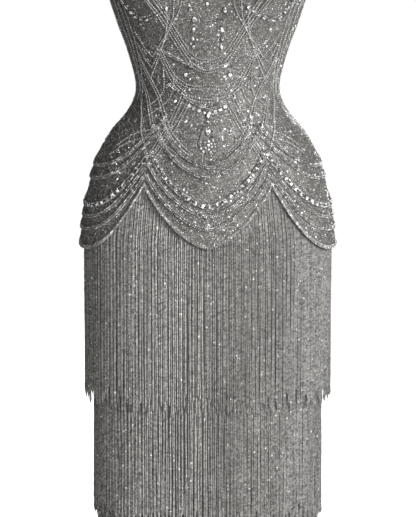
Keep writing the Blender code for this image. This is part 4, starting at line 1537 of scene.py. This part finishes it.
class GOWN_OT_ornament(GownOperator):
    """Make the drop-shaped ornament at the centre front."""

    bl_idname = "gown.ornament"
    bl_label = "Centre ornament"

    def execute(self, context):
        size = rows_at(BODICE_SECTIONS, np.array(ORNAMENT_HEIGHT))[0]
        turns = math.tau * np.arange(ORNAMENT_SIDES) / ORNAMENT_SIDES
        tip = np.clip(np.sin(turns), 0, None) ** ORNAMENT_TIP_SHARPNESS
        reach = ORNAMENT_RADIUS + (ORNAMENT_TIP - ORNAMENT_RADIUS) * tip

        def ring(share, out):
            across, up = reach * share * np.cos(turns), reach * share * np.sin(turns)
            return on_bodice(across / size, ORNAMENT_HEIGHT + up, np.full(ORNAMENT_SIDES, out))[0]

        points = np.stack([ring(share, out) for share, out in ORNAMENT_RINGS])
        faces = ring_faces(len(points), ORNAMENT_SIDES)
        setting = mesh_piece("ornament_setting", points, faces, [look("setting_silver")], sharp_over=40)
        dress(setting, "stones", "centre_ornament")

        angle, height = [0.0, 0.0], [ORNAMENT_TOP_STONE, ORNAMENT_CLUSTER]
        radii = [(0.0036, 0.0072, 0.0034), (0.0026, 0.0026, 0.0026)]
        for count, reach, radius in ORNAMENT_STONE_ROWS:
            for k in range(count):
                turn = math.tau * (k + 0.5) / count
                angle.append(reach * math.cos(turn) / size)
                height.append(ORNAMENT_CLUSTER + reach * math.sin(turn))
                radii.append((radius, radius, radius))
        angle, height = np.array(angle), np.array(height)
        places, axes = stone_axes(angle, height, np.zeros(len(angle)), ORNAMENT_STONE_LIFT)
        radii = np.array(radii)
        axes = tilted(axes, np.random.default_rng(19), 0.25)
        parts = [
            repeat(cut_stone("pear"), places[:1], axes[:1], radii[:1]),
            repeat(cut_stone("round"), places[1:], axes[1:], radii[1:]),
        ]
        points, faces = joined(parts)
        stones = mesh_piece("ornament_stones", points, faces, [look("foil_backed_stones")], smooth=False)
        dress(stones, "stones")
        return {"FINISHED"}


class GOWN_OT_zip(GownOperator):
    """Make the closed zip at the centre back, with its tape, teeth and slider."""

    bl_idname = "gown.zip"
    bl_label = "Zip"

    def execute(self, context):
        top = float(top_edge(np.array(float(BACK_END_COLUMN))))
        bottom = float(hang(HEM_SCALLOP, np.array(float(BACK_END_COLUMN))))
        heights = np.linspace(top, bottom, 80)
        half_widths = rows_at(BODICE_SECTIONS, heights)[:, 0]
        across = np.array([1, 0.5, 0, -0.5, -1])
        tape_half_width = ZIP_HALF_WIDTH + SEAM_GAP - ZIP_TAPE_GAP
        angles = math.pi - np.arcsin(tape_half_width * across[None] / half_widths[:, None])
        levels = np.broadcast_to(heights[:, None], angles.shape)
        outer, _ = on_bodice(angles, levels, np.zeros(levels.shape))
        inner, _ = on_bodice(angles, levels, np.full(levels.shape, -ZIP_WALL))
        tape = shell("zip_tape", outer, inner, [look("satin_lining"), look("satin_lining")])
        dress(tape, "zip_strip", "back_zip")

        marks = np.arange(top - 0.004, bottom + 0.002, -TOOTH_PITCH)
        side = np.where(np.arange(len(marks)) % 2, 1.0, -1.0)
        sizes = rows_at(BODICE_SECTIONS, marks)[:, 0]
        places, axes = stone_axes(math.pi - side * TOOTH_ASIDE / sizes, marks, np.zeros(len(marks)), 0.0003)
        teeth = repeat(round_bead(), places, axes, np.ones((len(marks), 3)) * TOOTH_SIZE)
        points, faces = joined([teeth])
        dress(mesh_piece("zip_teeth", points, faces, [look("zip_silver")]), "zip_strip")

        rings = []
        turns = math.tau * np.arange(SLIDER_SIDES) / SLIDER_SIDES
        for share in np.linspace(0, 1, SLIDER_RINGS):
            level = top - SLIDER_DROP - SLIDER_LENGTH * share
            rounding = math.sqrt(max(0.02, 1 - (2 * share - 1) ** 6))
            width = SLIDER_HALF_WIDTH * (1 - SLIDER_TAPER * share) * rounding
            thick = SLIDER_THICKNESS * math.sqrt(max(0.02, 1 - (2 * share - 1) ** 4))
            reach = width * np.cos(turns) / rows_at(BODICE_SECTIONS, np.array(level))[0]
            lift = SLIDER_LIFT + thick * (1 + np.sin(turns)) / 2
            rings.append(on_bodice(math.pi - reach, np.full(SLIDER_SIDES, level), lift)[0])
        faces = [face[::-1] for face in ring_faces(SLIDER_RINGS, SLIDER_SIDES)]
        slider = mesh_piece("zip_slider", np.stack(rings), faces, [look("zip_silver")], sharp_over=50)
        dress(slider, "zip_strip")
        return {"FINISHED"}


class GOWN_OT_skirt_and_fringe(GownOperator):
    """Make the skirt's two halves and the five tiers of bead fringe on them."""

    bl_idname = "gown.skirt_and_fringe"
    bl_label = "Skirt and fringe"

    def execute(self, context):
        front = skirt_cloth("skirt_front", -math.pi / 2, math.pi / 2)
        back = skirt_cloth("skirt_back", math.pi / 2, 3 * math.pi / 2)
        tiers = [fringe_tier(tier) for tier in TIERS]
        return {"FINISHED"}


class GOWN_OT_stage(GownOperator):
    """Set up the floor, the lights, the world and the camera."""

    bl_idname = "gown.stage"
    bl_label = "Stage"

    def execute(self, context):
        scene = context.scene
        size, level = FLOOR_SIZE, HEM_HEIGHT - FLOOR_DROP
        corners = [(-size, -size, level), (size, -size, level), (size, size, level), (-size, size, level)]
        made, shader, nodes = principled("studio_floor", metallic=0.0, roughness=0.8)
        tone = nodes.group(cloudy_tone(), Place=nodes.object_place(), Clouds_per_metre=3)["Tone"]
        tones = [tinted(WHITE, share) for share in FLOOR_TONES]
        nodes.feed(shader.inputs["Base Color"], nodes.blend(tone, *tones))
        seen = nodes.add("ShaderNodeLightPath").outputs["Is Camera Ray"]
        shader.inputs["Emission Color"].default_value = (1, 1, 1, 1)
        nodes.feed(shader.inputs["Emission Strength"], seen)
        floor = mesh_piece("studio_floor", corners, [(0, 1, 2, 3)], [made])

        world = bpy.data.worlds.new("studio_world")
        scene.world = world
        world.use_nodes = True
        nodes = Nodes(world.node_tree)
        background = world.node_tree.nodes["Background"]
        background.inputs["Color"].default_value = (1, 1, 1, 1)
        seen = nodes.add("ShaderNodeLightPath").outputs["Is Camera Ray"]
        nodes.feed(background.inputs["Strength"], nodes.remap(seen, 0, 1, WORLD_LIGHT, 1.0))

        for light in LIGHTS:
            data = bpy.data.lights.new(light.name, "AREA")
            data.size = light.size
            data.energy = light.power
            lamp = bpy.data.objects.new(light.name, data)
            lamp.visible_camera = False
            lamp.visible_glossy = light.mirrored
            data.color = light.tint
            scene.collection.objects.link(lamp)
            aim(lamp, light.place, light.target)

        camera = bpy.data.objects.new("photo_camera", bpy.data.cameras.new("photo_camera"))
        camera.data.lens = CAMERA_LENS
        camera.data.sensor_width = SENSOR_WIDTH
        camera.data.clip_end = 100
        scene.collection.objects.link(camera)
        aim(camera, CAMERA_PLACE, CAMERA_TARGET)
        scene.camera = camera
        scene.view_settings.view_transform = "Standard"
        return {"FINISHED"}


def aim(thing, place, target):
    """Puts a light or the camera at a place, turned to a target."""
    thing.location = place
    bpy.context.view_layer.update()
    direction = thing.location.copy()
    direction.x, direction.y, direction.z = (b - a for a, b in zip(place, target))
    thing.rotation_mode = "QUATERNION"
    thing.rotation_quaternion = direction.to_track_quat("-Z", "Y")


STEPS = (
    GOWN_OT_bodice_cloth,
    GOWN_OT_beadwork,
    GOWN_OT_stones,
    GOWN_OT_ornament,
    GOWN_OT_zip,
    GOWN_OT_skirt_and_fringe,
    GOWN_OT_stage,
)


class GOWN_PT_panel(bpy.types.Panel):
    """The gown's sizes, colours and steps."""

    bl_idname = "GOWN_PT_panel"
    bl_label = "Mermaid gown"
    bl_space_type = "VIEW_3D"
    bl_region_type = "UI"
    bl_category = "Gown"

    def draw(self, context):
        for settings in (context.scene.gown_sizes, context.scene.gown_colours):
            for name in settings.__annotations__:
                self.layout.prop(settings, name)
        for step in STEPS:
            self.layout.operator(step.bl_idname)


CLASSES = (GownSizes, GownColours, *STEPS, GOWN_PT_panel)


def register():
    for item in CLASSES:
        bpy.utils.register_class(item)
    bpy.types.Scene.gown_sizes = PointerProperty(type=GownSizes)
    bpy.types.Scene.gown_colours = PointerProperty(type=GownColours)


def unregister():
    del bpy.types.Scene.gown_colours
    del bpy.types.Scene.gown_sizes
    for item in reversed(CLASSES):
        bpy.utils.unregister_class(item)


def main():
    register()
    bpy.ops.gown.bodice_cloth()
    bpy.ops.gown.beadwork()
    bpy.ops.gown.stones()
    bpy.ops.gown.ornament()
    bpy.ops.gown.zip()
    bpy.ops.gown.skirt_and_fringe()
    bpy.ops.gown.stage()


if __name__ == "__main__":
    main()
